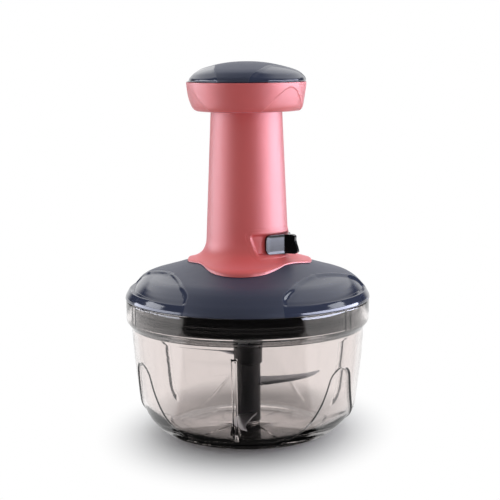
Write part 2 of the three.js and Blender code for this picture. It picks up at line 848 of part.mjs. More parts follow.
function casingOutline(theta) {
  const spigotTop = lidTopAt(spigotRadius) + gap;
  const middle = lerp(shoulderHeight, casingTop, 1 / 2);
  return [
    [columnRadius, casingTop],
    [columnRadiusAt(middle), middle],
    ...flareAt(theta),
    [spigotRadius, spigotTop],
    [spigotRadius, spigotBottom],
    [spigotBore, spigotBottom],
    [spigotBore, spigotTop],
    [lowerBore, spigotTop + spigotBore - lowerBore],
    [lowerBore, shoulderHeight],
    [columnBore, casingTop],
  ];
}

function casingShell() {
  const columns = wideSides;
  const points = casingOutline(0).map(([r, z]) => new THREE.Vector2(r, z));
  points.push(points[0].clone());
  const geometry = new THREE.LatheGeometry(points, columns);
  const position = geometry.attributes.position;
  for (let i = 0; i < position.count; i += 1) {
    const theta = (2 * Math.PI * (Math.floor(i / points.length) % columns)) / columns;
    const outline = casingOutline(theta);
    const [r, z] = outline[(i % points.length) % outline.length];
    const place = polar(r, theta, z);
    position.setXYZ(i, place.x, place.y, place.z);
  }
  return geometry;
}

function lockWindow(r0, r1, halfSweep, halfHeight) {
  const start = lock.thetaCentre - lock.travel - halfSweep;
  const end = lock.thetaCentre + halfSweep;
  return sector(r0, r1, start, end, lockMiddle - halfHeight, lockMiddle + halfHeight);
}

function casingGeometry() {
  const margin = lock.recessMargin;
  const far = notchRadius + flareLobes[0].reach;
  const right = lock.thetaCentre + lock.halfSweep + margin / lockRadius;
  const recess = sector(recessRadius, far, lock.recessLeft, right, lockBottom - margin, lockTop + margin);
  const stemSweep = lock.stemHalfAngle + gap / lockRadius;
  const slot = lockWindow(lowerBore - overrun, recessRadius + overrun, stemSweep, lock.stemHeight / 2 + gap);
  const pilotTop = plateBottom + columnScrew.length + gap;
  const pilots = screwHoles(columnScrew.circle, spigotBottom, pilotTop - overrun);
  return combine(casingShell(), { cut: [recess, slot, ...pilots] });
}

function sleeveGeometry() {
  const body = turned([[sleeveRadius, flangeTop], [sleeveRadius, sleeveTop], [sleeveBore, sleeveTop],
    [sleeveBore, flangeTop], [sleeveBore, deckHeight], [sleeveFlangeRadius, deckHeight],
    [sleeveFlangeRadius, flangeTop]]);
  const tongueSweep = lock.stemHalfAngle + gap / sleeveBore;
  const tongue = lockWindow(sleeveBore - overrun, sleeveRadius + overrun, tongueSweep,
    lock.stemHeight / 2 + gap);
  return combine(body, { cut: [tongue, ...screwHoles(columnScrew.circle, deckHeight, flangeTop)] });
}

function stopRingGeometry() {
  const bottom = sleeveTop + gap;
  return ring(stopRing.bore, stopRing.radius, bottom, bottom + stopRing.thickness);
}

function guideBushGeometry() {
  const top = collarBottom - gap;
  return ring(stopRing.bore, guideBush.radius, top - guideBush.thickness, top);
}

// Lock slider

function sliderGeometry() {
  const { thetaCentre, halfSweep } = lock;
  const plate = sector(lockRadius, lockFace, thetaCentre - halfSweep, thetaCentre + halfSweep, lockBottom,
    lockTop);
  const root = (lockRadius + lockFace) / 2;
  const reach = lockFace + lock.finReach;
  const saddle = lockFace + lock.finSaddle;
  const shape = new THREE.Shape();
  shape.moveTo(root, lockBottom);
  shape.lineTo(reach, lockBottom);
  shape.quadraticCurveTo(2 * saddle - reach, lockMiddle, reach, lockTop);
  shape.lineTo(root, lockTop);
  shape.closePath();
  return combine(plate, { add: [fin(shape, lock.finThickness, thetaCentre)] });
}

function latchGeometry() {
  const outer = lowerBore - gap;
  const inner = outer - lock.latchThickness;
  const half = lock.latchHeight / 2;
  const { thetaCentre, latchHalfSweep, stemHalfAngle } = lock;
  const plate = sector(inner, outer, thetaCentre - latchHalfSweep, thetaCentre + latchHalfSweep,
    lockMiddle - half, lockMiddle + half);
  const halfStem = lock.stemHeight / 2;
  const stem = sector(tubeFlangeRadius + lock.tongueRoom, lockRadius - gap, thetaCentre - stemHalfAngle,
    thetaCentre + stemHalfAngle, lockMiddle - halfStem, lockMiddle + halfStem);
  return combine(plate, { add: [stem] });
}

// Drive line

function housingGeometry() {
  const top = deckHeight + housing.height;
  const inner = housingRadius - housing.wall;
  const ceiling = top - housing.topThickness;
  return turned([
    [inner, deckHeight], [housingFlangeRadius, deckHeight], [housingFlangeRadius, flangeTop],
    [housingRadius, flangeTop], [housingRadius, top], [housing.shaftHole, top],
    [housing.shaftHole, ceiling], [inner, ceiling],
  ]);
}

// A ring whose bottom or top face carries saw teeth
function toothedRing(bore, z0, z1, toothedTop) {
  const outline = [[bore, z0], [clutchRadius, z0], [clutchRadius, z1], [bore, z1]];
  const points = [...outline, outline[0]].map(([r, z]) => new THREE.Vector2(r, z));
  const columns = clutch.teeth * toothColumns;
  const geometry = new THREE.LatheGeometry(points, columns);
  const position = geometry.attributes.position;
  for (let i = 0; i < position.count; i += 1) {
    const row = (i % points.length) % outline.length;
    const column = Math.floor(i / points.length) % columns;
    const rise = (column % toothColumns) / (toothColumns - 1);
    const turn = (Math.floor(column / toothColumns) + rise * clutch.toothRise) / clutch.teeth;
    const [r, z] = outline[row];
    const toothed = toothedTop ? row >= 2 : row < 2;
    const place = polar(r, turn * 2 * Math.PI, z + (toothed ? rise * clutch.toothHeight : 0));
    position.setXYZ(i, place.x, place.y, place.z);
  }
  return geometry;
}

function lowerClutchGeometry() {
  return toothedRing(couplerBore, deckHeight, lowerClutchTop, true);
}

function upperClutchGeometry() {
  const teeth = toothedRing(couplerBore, upperClutchBottom, upperClutchTop, false);
  const holder = rodAt(rod.holderRadius, upperClutchTop - clutch.thickness / 2, holderTop);
  const slot = stripGeometry(2 * nut.slotClearance, rodBottom - gap, holderTop + overrun);
  return combine(teeth, { add: [holder], cut: [slot] });
}

// A flat strip twisted round the axis; the grain of the twist is the same at every height
function stripGeometry(extra, z0, z1) {
  const steps = Math.ceil(((z1 - z0) / twistLead) * rod.stepsPerTurn);
  const strip = new THREE.BoxGeometry(rod.width + extra, rod.thickness + extra, z1 - z0, 2, 1, steps);
  strip.translate(0, 0, (z0 + z1) / 2);
  const position = strip.attributes.position;
  const axis = new THREE.Vector3(0, 0, 1);
  for (let i = 0; i < position.count; i += 1) {
    const point = new THREE.Vector3().fromBufferAttribute(position, i);
    point.applyAxisAngle(axis, (-2 * Math.PI * (point.z - tubeBottom)) / twistLead);
    position.setXYZ(i, point.x, point.y, point.z);
  }
  return strip;
}

function nutGeometry() {
  const bottom = tubeBottom + gap;
  const body = rodAt(tubeBore - gap, bottom, bottom + nut.thickness, 0, 0, roundSides);
  const slot = stripGeometry(2 * nut.slotClearance, bottom - overrun, bottom + nut.thickness + overrun);
  return combine(body, { cut: [slot] });
}

// Turn from +Y that lays the dog against the socket's ribs, on the side that a push drives
function dogTurn() {
  const corner = Math.hypot(shaft.dogRibReach, shaft.dogRibWidth / 2);
  const cornerAngle = Math.atan2(shaft.dogRibWidth / 2, shaft.dogRibReach);
  return Math.asin((coupler.dogWidth / 2 + gap) / corner) + cornerAngle - Math.PI / 2;
}

function couplerGeometry() {
  const dog = new THREE.BoxGeometry(coupler.dogWidth, coupler.dogLength, coupler.dogHeight);
  dog.translate(0, 0, dogTop - coupler.dogHeight / 2);
  dog.rotateZ(dogTurn());
  const spindle = rodAt(coupler.radius, dogTop - clip.thickness, lowerClutchTop, 0, 0, smallSides * 2);
  return combine(spindle, { add: [dog] });
}

function couplerBushGeometry() {
  return ring(couplerBore, hubBore - gap, hubBottom, plateTop);
}

function couplerClipGeometry() {
  const top = hubBottom - gap;
  return ring(couplerBore, clip.radius, top - clip.thickness, top, smallSides);
}

class Helix extends THREE.Curve {
  constructor(radius, z0, z1, curls) {
    super();
    Object.assign(this, { radius, z0, z1, curls });
  }

  getPoint(t, target = new THREE.Vector3()) {
    return target.copy(polar(this.radius, t * this.curls * 2 * Math.PI, lerp(this.z0, this.z1, t)));
  }
}

function springPath() {
  const bottom = flangeTop + gap + spring.wire / 2;
  const top = tubeBottom - gap - spring.wire / 2;
  return new Helix(sleeveBore - spring.sleeveRoom, bottom, top, spring.curls);
}

// Least distance between the surfaces of two curls, measured on the points of the spring's path
function springGap() {
  const points = springPath().getPoints(spring.curls * spring.stepsPerCurl);
  let least = Infinity;
  points.forEach((point, i) => {
    const others = points.slice(i + spring.stepsPerCurl / 2);
    others.forEach((other) => { least = Math.min(least, point.distanceTo(other)); });
  });
  return least - spring.wire;
}

function springGeometry() {
  const section = new THREE.Shape(Array.from({ length: spring.sides }, (_, i) => {
    const angle = (i * 2 * Math.PI) / spring.sides;
    return new THREE.Vector2(Math.cos(angle), Math.sin(angle)).multiplyScalar(spring.wire / 2);
  }));
  const steps = spring.curls * spring.stepsPerCurl;
  return new THREE.ExtrudeGeometry(section, { steps, bevelEnabled: false, extrudePath: springPath() });
}

// Plunger and its head

function tubeGeometry() {
  const screwBore = headScrew.shankRadius + gap;
  const plugBottom = tubeTop - tube.plugThickness;
  return turned([
    [tubeBore, tubeBottom], [tubeFlangeRadius, tubeBottom], [tubeFlangeRadius, tubeFlangeTop],
    [tube.radius, tubeFlangeTop], [tube.radius, tubeTop], [screwBore, tubeTop], [screwBore, plugBottom],
    [tubeBore, plugBottom],
  ]);
}

function collarOutside() {
  const base = [openingRadius + collar.bottomWidth, 0];
  const corner = [openingRadius + collar.cornerWidth, collar.cornerHeight];
  const top = [collarRadius, collar.height];
  const upper = curvePoints(corner, between(corner, top, [collar.sideShares]), top, arcSteps).slice(1);
  return [...curvePoints(base, [[corner[0], 0]], corner, shortArcSteps), ...upper];
}

function facetRows(points, facet, seat, hasRest) {
  return withInward(points).map((row) => {
    const share = row.z / facet.height;
    const atRest = hasRest && share > 1;
    const halfAngle = atRest ? facet.restHalfAngle : outlineAt(facet.outlineShares, share);
    return { ...row, z: row.z + seat, halfAngle: degToRad(halfAngle), fade: share < 1 ? 1 : 0 };
  });
}

function collarGeometry() {
  const outside = facetRows(collarOutside(), collarFacet, collarBottom, false);
  outside[0].fade = 0;
  const floor = collarBottom + collar.wall;
  const inside = outside.filter((row) => row.z > floor + collar.wall).map((row) => shifted(row, collar.wall));
  inside.at(-1).z = outside.at(-1).z;
  const innerAngle = inside[0].halfAngle;
  const opening = openingRadius + collar.wall;
  const webTop = webBottom + collar.webThickness;
  const tubeSeat = tube.radius + gap;
  const socketOuter = tubeSeat + collar.socketWall;
  const bore = headScrew.shankRadius + gap;
  const plain = plainRows([
    [inside[0].r - collar.wall, floor], [opening, floor], [opening, webTop], [bore, webTop],
    [bore, webBottom], [tubeSeat, webBottom], [tubeSeat, collarBottom], [socketOuter, collarBottom],
    [socketOuter, webBottom], [openingRadius, webBottom], [openingRadius, collarBottom],
  ], innerAngle);
  return faceted([...outside, ...inside.reverse(), ...plain], collarFacet, true);
}

function capOutside() {
  const edge = [collarRadius - cap.edgeInset, 0];
  const shoulder = [collarRadius - cap.shoulderInset, cap.shoulderHeight];
  const crown = [0, cap.crownHeight];
  const side = curvePoints(edge, [[edge[0], cap.shoulderHeight / 2]], shoulder, shortArcSteps);
  const top = curvePoints(shoulder, between(shoulder, crown, cap.crownShares), crown, arcSteps + 1);
  return [...side, ...top.slice(1)];
}

function capGeometry() {
  const outside = facetRows(capOutside(), capFacet, capSeat, true);
  outside[0].fade = 1 / 2;
  const inside = outside.slice(1).map((row) => shifted(row, cap.wall));
  inside.at(-1).r = 0;
  inside.at(-1).z = outside.at(-1).z - cap.wall;
  const skirtOuter = collarRadius - 2 * collar.wall;
  const skirtInner = skirtOuter - cap.skirtWall;
  const skirt = plainRows([[skirtInner, inside[0].z], [skirtInner, capSeat - cap.skirtHeight],
    [skirtOuter, capSeat - cap.skirtHeight], [skirtOuter, capSeat]], outside[0].halfAngle);
  const above = inside.filter((row) => row.r < skirtInner);
  return faceted([...outside, ...above.reverse(), ...skirt], capFacet, true);
}

// Assembly

function meshOf(name, geometry, look) {
  const mesh = new THREE.Mesh(weld(geometry), new THREE.MeshStandardMaterial(materials[look]));
  mesh.name = name;
  return mesh;
}

function screwSet(name, size, circle) {
  return lobeThetas().map((theta, i) => meshOf(`${name}_${i + 1}`,
    screwGeometry({ ...screw, ...size }, plateBottom - gap, circle, theta), 'steel'));
}

function bladeSet() {
  return ['top', 'middle', 'bottom'].map((name, i) => meshOf(`blade_${name}`, bladeGeometry(i), 'steel'));
}

function headGroup() {
  const group = new THREE.Group();
  group.rotation.z = headTurn;
  group.add(
    meshOf('head_collar', collarGeometry(), 'pink'),
    meshOf('head_cap', capGeometry(), 'slate'),
  );
  return group;
}

function headScrewGeometry() {
  const seat = webBottom + collar.webThickness + gap;
  return screwGeometry(headScrew, seat, 0, 0, -1);
}

const chopper = new THREE.Group();
chopper.add(
  meshOf('bowl', bowlGeometry(), 'smoke'),
  meshOf('pivot_pin', pivotPinGeometry(), 'steel'),
  meshOf('blade_shaft', bladeShaftGeometry(), 'charcoal'),
  meshOf('drive_socket', driveSocketGeometry(), 'charcoal'),
  ...bladeSet(),
  meshOf('lid_cover', lidCoverGeometry(), 'slate'),
  meshOf('lid_base', lidBaseGeometry(), 'black'),
  meshOf('lid_seal', sealGeometry(), 'silicone'),
  ...screwSet('cover_screw', coverScrew, coverScrew.circle),
  meshOf('column_casing', casingGeometry(), 'pink'),
  ...screwSet('column_screw', columnScrew, columnScrew.circle),
  meshOf('guide_sleeve', sleeveGeometry(), 'natural'),
  meshOf('stop_ring', stopRingGeometry(), 'natural'),
  meshOf('guide_bush', guideBushGeometry(), 'natural'),
  meshOf('clutch_housing', housingGeometry(), 'natural'),
  meshOf('return_spring', springGeometry(), 'steel'),
  meshOf('coupler_bush', couplerBushGeometry(), 'natural'),
  meshOf('drive_coupler', couplerGeometry(), 'charcoal'),
  meshOf('coupler_clip', couplerClipGeometry(), 'steel'),
  meshOf('lower_clutch', lowerClutchGeometry(), 'natural'),
  meshOf('upper_clutch', upperClutchGeometry(), 'natural'),
  meshOf('twisted_rod', stripGeometry(0, rodBottom, rodTop), 'steel'),
  meshOf('plunger_tube', tubeGeometry(), 'natural'),
  meshOf('drive_nut', nutGeometry(), 'natural'),
  headGroup(),
  meshOf('head_screw', headScrewGeometry(), 'steel'),
  meshOf('lock_slider', sliderGeometry(), 'black'),
  meshOf('lock_latch', latchGeometry(), 'black'),
);

console.log(`least gap between curls of return_spring: ${springGap().toFixed(2)} mm`);

export default chopper;
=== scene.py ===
"""Dresses the frame of a push-down food chopper: a clear bowl with a blade shaft, a domed lid with a
lobed column, and a knob with a cap. Pieces are shaped in millimetres and made into metres at the end.
Angles round the axis start at -Y and grow towards +X."""

import math
from types import SimpleNamespace

import bmesh
import bpy
from bpy.props import FloatProperty, FloatVectorProperty, PointerProperty
from mathutils import Matrix, Vector


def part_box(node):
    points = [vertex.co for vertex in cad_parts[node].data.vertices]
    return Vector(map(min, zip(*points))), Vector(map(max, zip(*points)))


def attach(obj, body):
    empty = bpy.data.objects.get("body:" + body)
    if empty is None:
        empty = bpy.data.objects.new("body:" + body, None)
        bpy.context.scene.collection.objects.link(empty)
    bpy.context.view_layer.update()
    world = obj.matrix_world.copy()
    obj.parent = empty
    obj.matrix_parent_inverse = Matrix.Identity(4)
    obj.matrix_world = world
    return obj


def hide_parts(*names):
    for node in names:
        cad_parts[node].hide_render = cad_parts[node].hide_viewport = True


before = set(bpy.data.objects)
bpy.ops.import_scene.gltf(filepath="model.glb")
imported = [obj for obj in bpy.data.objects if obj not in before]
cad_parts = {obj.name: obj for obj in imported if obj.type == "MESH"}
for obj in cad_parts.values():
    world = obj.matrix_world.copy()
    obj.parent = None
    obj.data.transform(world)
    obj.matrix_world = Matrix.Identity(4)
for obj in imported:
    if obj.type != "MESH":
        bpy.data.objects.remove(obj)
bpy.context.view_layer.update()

bl_info = {
    "name": "Push-down food chopper",
    "version": (1, 0, 0),
    "blender": (4, 5, 0),
    "location": "View3D > Sidebar > Chopper",
    "description": "Builds the visible pieces, materials and stage of a push-down food chopper",
    "category": "Object",
}

MM = 0.001
LOBES = 3
SECTOR = 2 * math.pi / LOBES
STEPS = 360
SMALL_STEPS = 96
RING_STEPS = 240
WEDGES = 24
# Smallest length that counts, in mm, and smallest angle
TINY = 0.001
ON_EDGE = 0.0001
AXIS = Vector((0, 0, 1))


def span_of(node):
    """Heights of a CAD node's bottom and top, in millimetres."""
    return tuple(corner.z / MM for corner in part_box(node))


BOWL_TOP = span_of("bowl")[1]
LID_SEAT = span_of("lid_cover")[0]
COLLAR_BOTTOM, COLLAR_TOP = span_of("head_collar")
CASING_BOTTOM, CASING_TOP = span_of("column_casing")
LOCK_BOTTOM, LOCK_TOP = span_of("lock_slider")


def length(name, millimetres, description):
    return FloatProperty(name=name, description=description, default=millimetres * MM, unit='LENGTH')


def angle(name, degrees, description):
    return FloatProperty(name=name, description=description, default=math.radians(degrees), subtype='ANGLE')


def linear(code):
    """Linear red, green, blue and alpha of an sRGB hex value."""
    shares = [int(code[i:i + 2], 16) / 255 for i in (1, 3, 5)]
    return tuple(s / 12.92 if s <= 0.04045 else ((s + 0.055) / 1.055) ** 2.4 for s in shares) + (1.0,)


def colour(name, code, description):
    return FloatVectorProperty(name=name, description=description, default=linear(code)[:3], size=3,
                               min=0, max=1, subtype='COLOR')


# Settings


class StageSettings(bpy.types.PropertyGroup):
    azimuth: angle("Azimuth", 6.6, "Turn of the camera round the axis, from the front towards the right")
    pitch: angle("Pitch", 8.2, "Downward tilt of the camera")
    roll: angle("Roll", 0.35, "Turn of the camera round its view, clockwise")
    distance: length("Distance", 780, "From the camera to the point that it looks at")
    height: length("Height", 102.3, "Height of that point")
    aside: length("Aside", 1.51, "How far right of the axis that point lies")
    lens: FloatProperty(name="Lens", description="Focal length for a 36 mm sensor", default=100.3,
                        unit='CAMERA')
    # The board is grey so that near the object, before the white glow takes over, it paints shade round the
    # object
    floor: colour("Floor", "#c4c4c4", "Colour of the floor")


class FinishSettings(bpy.types.PropertyGroup):
    pink: colour("Pink", "#ee5b59", "Satin plastic of the column and the knob's collar")
    slate: colour("Slate", "#3c4257", "Gloss plastic of the lid and the cap")
    clear: colour("Clear", "#f1ebe9", "Tint of the bowl's clear plastic")
    black: colour("Black", "#0d0e10", "Gloss plastic of the lock slider and the lid's underside")
    charcoal: colour("Charcoal", "#17181b", "Satin plastic of the blade shaft")
    natural: colour("Natural", "#e9e7df", "Undyed plastic of the parts inside the column")
    silicone: colour("Silicone", "#0f1012", "Seal in the bowl's rim")


class BowlSettings(bpy.types.PropertyGroup):
    rim_radius: length("Rim radius", 68.1, "Outside of the rim")
    foot_radius: length("Foot radius", 44.2, "Outside of the foot ring")
    corner_radius: length("Corner radius", 61, "Where the foot's curve meets the wall")
    corner_height: length("Corner height", 20, "Where the foot's curve meets the wall")
    belt_radius: length("Belt radius", 65.1, "Wall just under the rim band")
    belt_height: length("Belt height", 60.3, "Wall just under the rim band")
    rim_foot: length("Rim foot", 64.5, "Where the step out to the rim band ends")
    ledge_height: length("Ledge height", 61.6, "The same step inside the bowl")
    wall: length("Wall", 2.6, "Thickness of the wall")
    rim_wall: length("Rim wall", 2.4, "Thickness of the rim")
    rib_foot: length("Rib foot", 8, "Where the ribs inside the wall start")
    rib_top: length("Rib top", 53.9, "Where they end")
    rib_width: length("Rib width", 2.7, "Width of the ribs inside the wall")
    rib_depth: length("Rib depth", 2.2, "How far the ribs stand off the wall")


class LidSettings(bpy.types.PropertyGroup):
    edge_radius: length("Edge radius", 68.3, "Outside of the lid's edge")
    neck_radius: length("Neck radius", 25.3, "Hole for the column")
    wall: length("Wall", 2.4, "Thickness of the cover")


class ColumnSettings(bpy.types.PropertyGroup):
    top_radius: length("Top radius", 19.64, "Column under the knob")
    shoulder_radius: length("Shoulder radius", 22.7, "Column where its flare starts")
    shoulder_height: length("Shoulder height", 111, "Where the flare starts")
    recess_radius: length("Recess radius", 22, "Floor of the lock slider's recess")
    recess_left: angle("Recess left", 10, "Upper left end of the recess")
    recess_slant: angle("Recess slant", 10, "How much further right its lower left end lies")


class KnobSettings(bpy.types.PropertyGroup):
    turn: angle("Turn", -6, "Turn of the knob on the column")
    top_radius: length("Top radius", 33.1, "Collar at its top edge")
    opening: length("Opening", 20.4, "Hole that slides over the column")
    wall: length("Wall", 2.4, "Thickness of the collar and of the cap")


class LockSettings(bpy.types.PropertyGroup):
    centre: angle("Centre", 60.5, "Where the fin stands")
    sweep: angle("Sweep", 28.5, "Half of the slider's arc")
    radius: length("Radius", 22.3, "Back of the slider")
    face: length("Face", 24.3, "Front of the slider")
    corner: length("Corner", 3, "Rounding of the slider's ends")
    face_turn: angle("Face turn", 22.5, "Where the middle of a face is nearest, from the fin")
    dish: length("Dish", 0.15, "Depth of the hollow in the slider's face")
    fin_reach: length("Fin reach", 33.2, "Lower corner of the fin")
    fin_turn: angle("Fin turn", 15, "How far the fin leans away from the front")
    fin_thickness: length("Fin thickness", 3, "Thickness of the fin")


class BladeSettings(bpy.types.PropertyGroup):
    shaft_radius: length("Shaft radius", 7, "Lower part of the shaft")
    socket_radius: length("Socket radius", 8, "Upper part of the shaft")
    reach: length("Reach", 47, "Tip of a blade")
    root: length("Root", 13, "Width of a blade at the shaft")
    thickness: length("Thickness", 1, "Thickness of the sheet")
    bevel: length("Bevel", 2.6, "Width of the ground edge")
    tilt: angle("Tilt", 9, "How far a blade leans over towards one of its edges")


SETTINGS = {
    "chopper_stage": StageSettings,
    "chopper_finish": FinishSettings,
    "chopper_bowl": BowlSettings,
    "chopper_lid": LidSettings,
    "chopper_column": ColumnSettings,
    "chopper_knob": KnobSettings,
    "chopper_lock": LockSettings,
    "chopper_blades": BladeSettings,
}


def sizes_of(group):
    """The settings of a group, with its lengths in millimetres."""
    kinds = type(group).bl_rna.properties
    return SimpleNamespace(**{name: getattr(group, name) / (MM if kinds[name].unit == 'LENGTH' else 1)
                              for name in type(group).__annotations__})


# Outlines of (radius, height)


def mix(a, b, share):
    """The value between two others."""
    return a + (b - a) * share


def smoothstep(value, low, high):
    """0 to 1 between low and high, with soft ends. A low above high turns it round."""
    share = min(max((value - low) / (high - low), 0.0), 1.0)
    return share * share * (3 - 2 * share)


def table_at(value, inputs, outputs):
    """Straight-line reading of a table of rising inputs."""
    for i in range(1, len(inputs)):
        if value <= inputs[i] or i == len(inputs) - 1:
            return mix(outputs[i - 1], outputs[i], (value - inputs[i - 1]) / (inputs[i] - inputs[i - 1]))


def bezier(points, count):
    """Points of the Bezier curve over the given control points."""
    curve = []
    for step in range(count + 1):
        level = points
        while len(level) > 1:
            level = [(mix(a[0], b[0], step / count), mix(a[1], b[1], step / count))
                     for a, b in zip(level, level[1:])]
        curve.append(level[0])
    return curve


def through(points, count):
    """A smooth curve through the given points, with count steps between two of them."""
    ends = [Vector(point) for point in points]
    ends = [2 * ends[0] - ends[1], *ends, 2 * ends[-1] - ends[-2]]
    curve = [tuple(ends[1])]
    for a, b, c, d in zip(ends, ends[1:], ends[2:], ends[3:]):
        for step in range(1, count + 1):
            t = step / count
            point = 2 * b + (c - a) * t + (2 * a - 5 * b + 4 * c - d) * t ** 2
            curve.append(tuple((point + (3 * b - a - 3 * c + d) * t ** 3) / 2))
    return curve


def rounded(corners, segments=4):
    """An outline whose corners (radius, height, fillet) are rounded by their fillets."""
    outline = []
    for i, corner in enumerate(corners):
        here = Vector(corner[:2])
        fillet = corner[2] if len(corner) > 2 else 0
        if not fillet or i in (0, len(corners) - 1):
            outline.append(tuple(here))
            continue
        back = Vector(corners[i - 1][:2]) - here
        ahead = Vector(corners[i + 1][:2]) - here
        cut = min(fillet, back.length * 0.49, ahead.length * 0.49)
        start = here + back.normalized() * cut
        end = here + ahead.normalized() * cut
        outline += bezier([start, here, end], segments)
    return outline


CONE_RADIUS = 52
CONE_HEIGHT = 91.1


def lid_top(radius):
    """Height of the lid's cone, which sags a little towards the column."""
    return CONE_HEIGHT + (CONE_RADIUS - radius) / 3 - 0.7 * smoothstep(60 - radius, 0, 22)


# Pieces as meshes


def polar(radius, theta, z):
    """A point by its distance from the axis, its angle and its height."""
    return Vector((radius * math.sin(theta), -radius * math.cos(theta), z))


def theta_of(point):
    return math.atan2(point.x, -point.y) % (2 * math.pi)


def column_of(vertex, steps):
    """Which of the columns of a turned mesh a vertex is in."""
    return round(theta_of(vertex.co) / (2 * math.pi) * steps) % steps


def spun(outline, steps=SMALL_STEPS):
    """A mesh of a closed outline of (radius, height) turned round the axis. Each vertex keeps its row.

    One wedge is spun and then copied round, which is much quicker than one long spin.
    """
    mesh = bmesh.new()
    row = mesh.verts.layers.int.new("row")
    chain = []
    for i, (radius, z) in enumerate(outline):
        vertex = mesh.verts.new((0, -radius, z))
        vertex[row] = i
        chain.append(vertex)
    edges = [mesh.edges.new(pair) for pair in zip(chain, chain[1:] + chain[:1])]
    wedge = 2 * math.pi / WEDGES
    bmesh.ops.spin(mesh, geom=chain + edges, cent=(0, 0, 0), axis=AXIS, angle=wedge,
                   steps=steps // WEDGES)
    bmesh.ops.spin(mesh, geom=mesh.verts[:] + mesh.edges[:] + mesh.faces[:], cent=(0, 0, 0), axis=AXIS,
                   angle=2 * math.pi - wedge, steps=WEDGES - 1, use_duplicate=True)
    return mesh


def solid(mesh):
    """Joins doubled vertices and points the faces outwards."""
    bmesh.ops.remove_doubles(mesh, verts=mesh.verts, dist=0.002)
    bmesh.ops.dissolve_degenerate(mesh, edges=mesh.edges, dist=0.001)
    bmesh.ops.recalc_face_normals(mesh, faces=mesh.faces)
    return mesh


def piece(name, mesh, finish, body, node, crease=32, bevel=0):
    """Makes the object of a mesh, smooth but for its creases, which stands for a CAD node on a body."""
    bmesh.ops.scale(mesh, vec=(MM, MM, MM), verts=mesh.verts)
    data = bpy.data.meshes.new(name)
    mesh.to_mesh(data)
    mesh.free()
    data.shade_smooth()
    data.set_sharp_from_angle(angle=math.radians(crease))
    data.materials.append(FINISH[finish])
    thing = bpy.data.objects.new(name, data)
    bpy.context.scene.collection.objects.link(thing)
    if bevel:
        edge = thing.modifiers.new("Edges", 'BEVEL')
        edge.width = bevel * MM
        edge.segments = 3
        edge.limit_method = 'ANGLE'
        edge.angle_limit = math.radians(crease)
        edge.harden_normals = True
    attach(thing, body)
    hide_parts(node)


def turned(name, outline, finish, body, node, steps=SMALL_STEPS):
    """A piece whose closed outline is turned round the axis."""
    piece(name, solid(spun(outline, steps)), finish, body, node)


def skin(rows, wall, low, high=math.inf, widest=math.inf):
    """The inside of a wall: the rows of its outside between two heights, moved in by its thickness."""
    return [(row["radius"] + row["inward"].x * wall, row["z"] + row["inward"].y * wall)
            for row in rows if low < row["z"] < high and row["radius"] < widest]


def combined(base, others, operation='DIFFERENCE'):
    """The mesh of base after other meshes are cut from it or joined to it."""
    scratch = bpy.context.scene.collection
    made = []
    for i, mesh in enumerate([base, *others]):
        data = bpy.data.meshes.new(f"working_{i}")
        mesh.to_mesh(data)
        mesh.free()
        made.append(bpy.data.objects.new(f"working_{i}", data))
        scratch.objects.link(made[-1])
    for other in made[1:]:
        step = made[0].modifiers.new("Join", 'BOOLEAN')
        step.operation = operation
        step.solver = 'EXACT'
        step.object = other
    graph = bpy.context.evaluated_depsgraph_get()
    graph.update()
    result = bmesh.new()
    result.from_mesh(made[0].evaluated_get(graph).data)
    for thing in made:
        data = thing.data
        bpy.data.objects.remove(thing)
        bpy.data.meshes.remove(data)
    return solid(result)


def slab(columns, rows):
    """A unit grid doubled into a slab, and the vertices of its second side, to be moved to their places."""
    mesh = bmesh.new()
    bmesh.ops.create_grid(mesh, x_segments=columns, y_segments=rows, size=0.5)
    made = bmesh.ops.extrude_face_region(mesh, geom=mesh.faces[:], use_keep_orig=True)
    return mesh, {vertex for vertex in made["geom"] if isinstance(vertex, bmesh.types.BMVert)}


# Arches pressed into a turned body

# The columns of half a sector that bend to follow an arch's edge and the rib between two arches
BEND_COLUMNS = tuple(math.radians(degrees) for degrees in (0, 25, 30, 32, 54, 60))
RIB_ANGLE = math.radians(1.7)
# Half angles that the columns of an arch keep near its foot or point, and take again over it
NARROWEST = math.radians(5)
OVER_ARCH = math.radians(14)
OVER_HEIGHT = 12
CORNER_BAND = 0.6


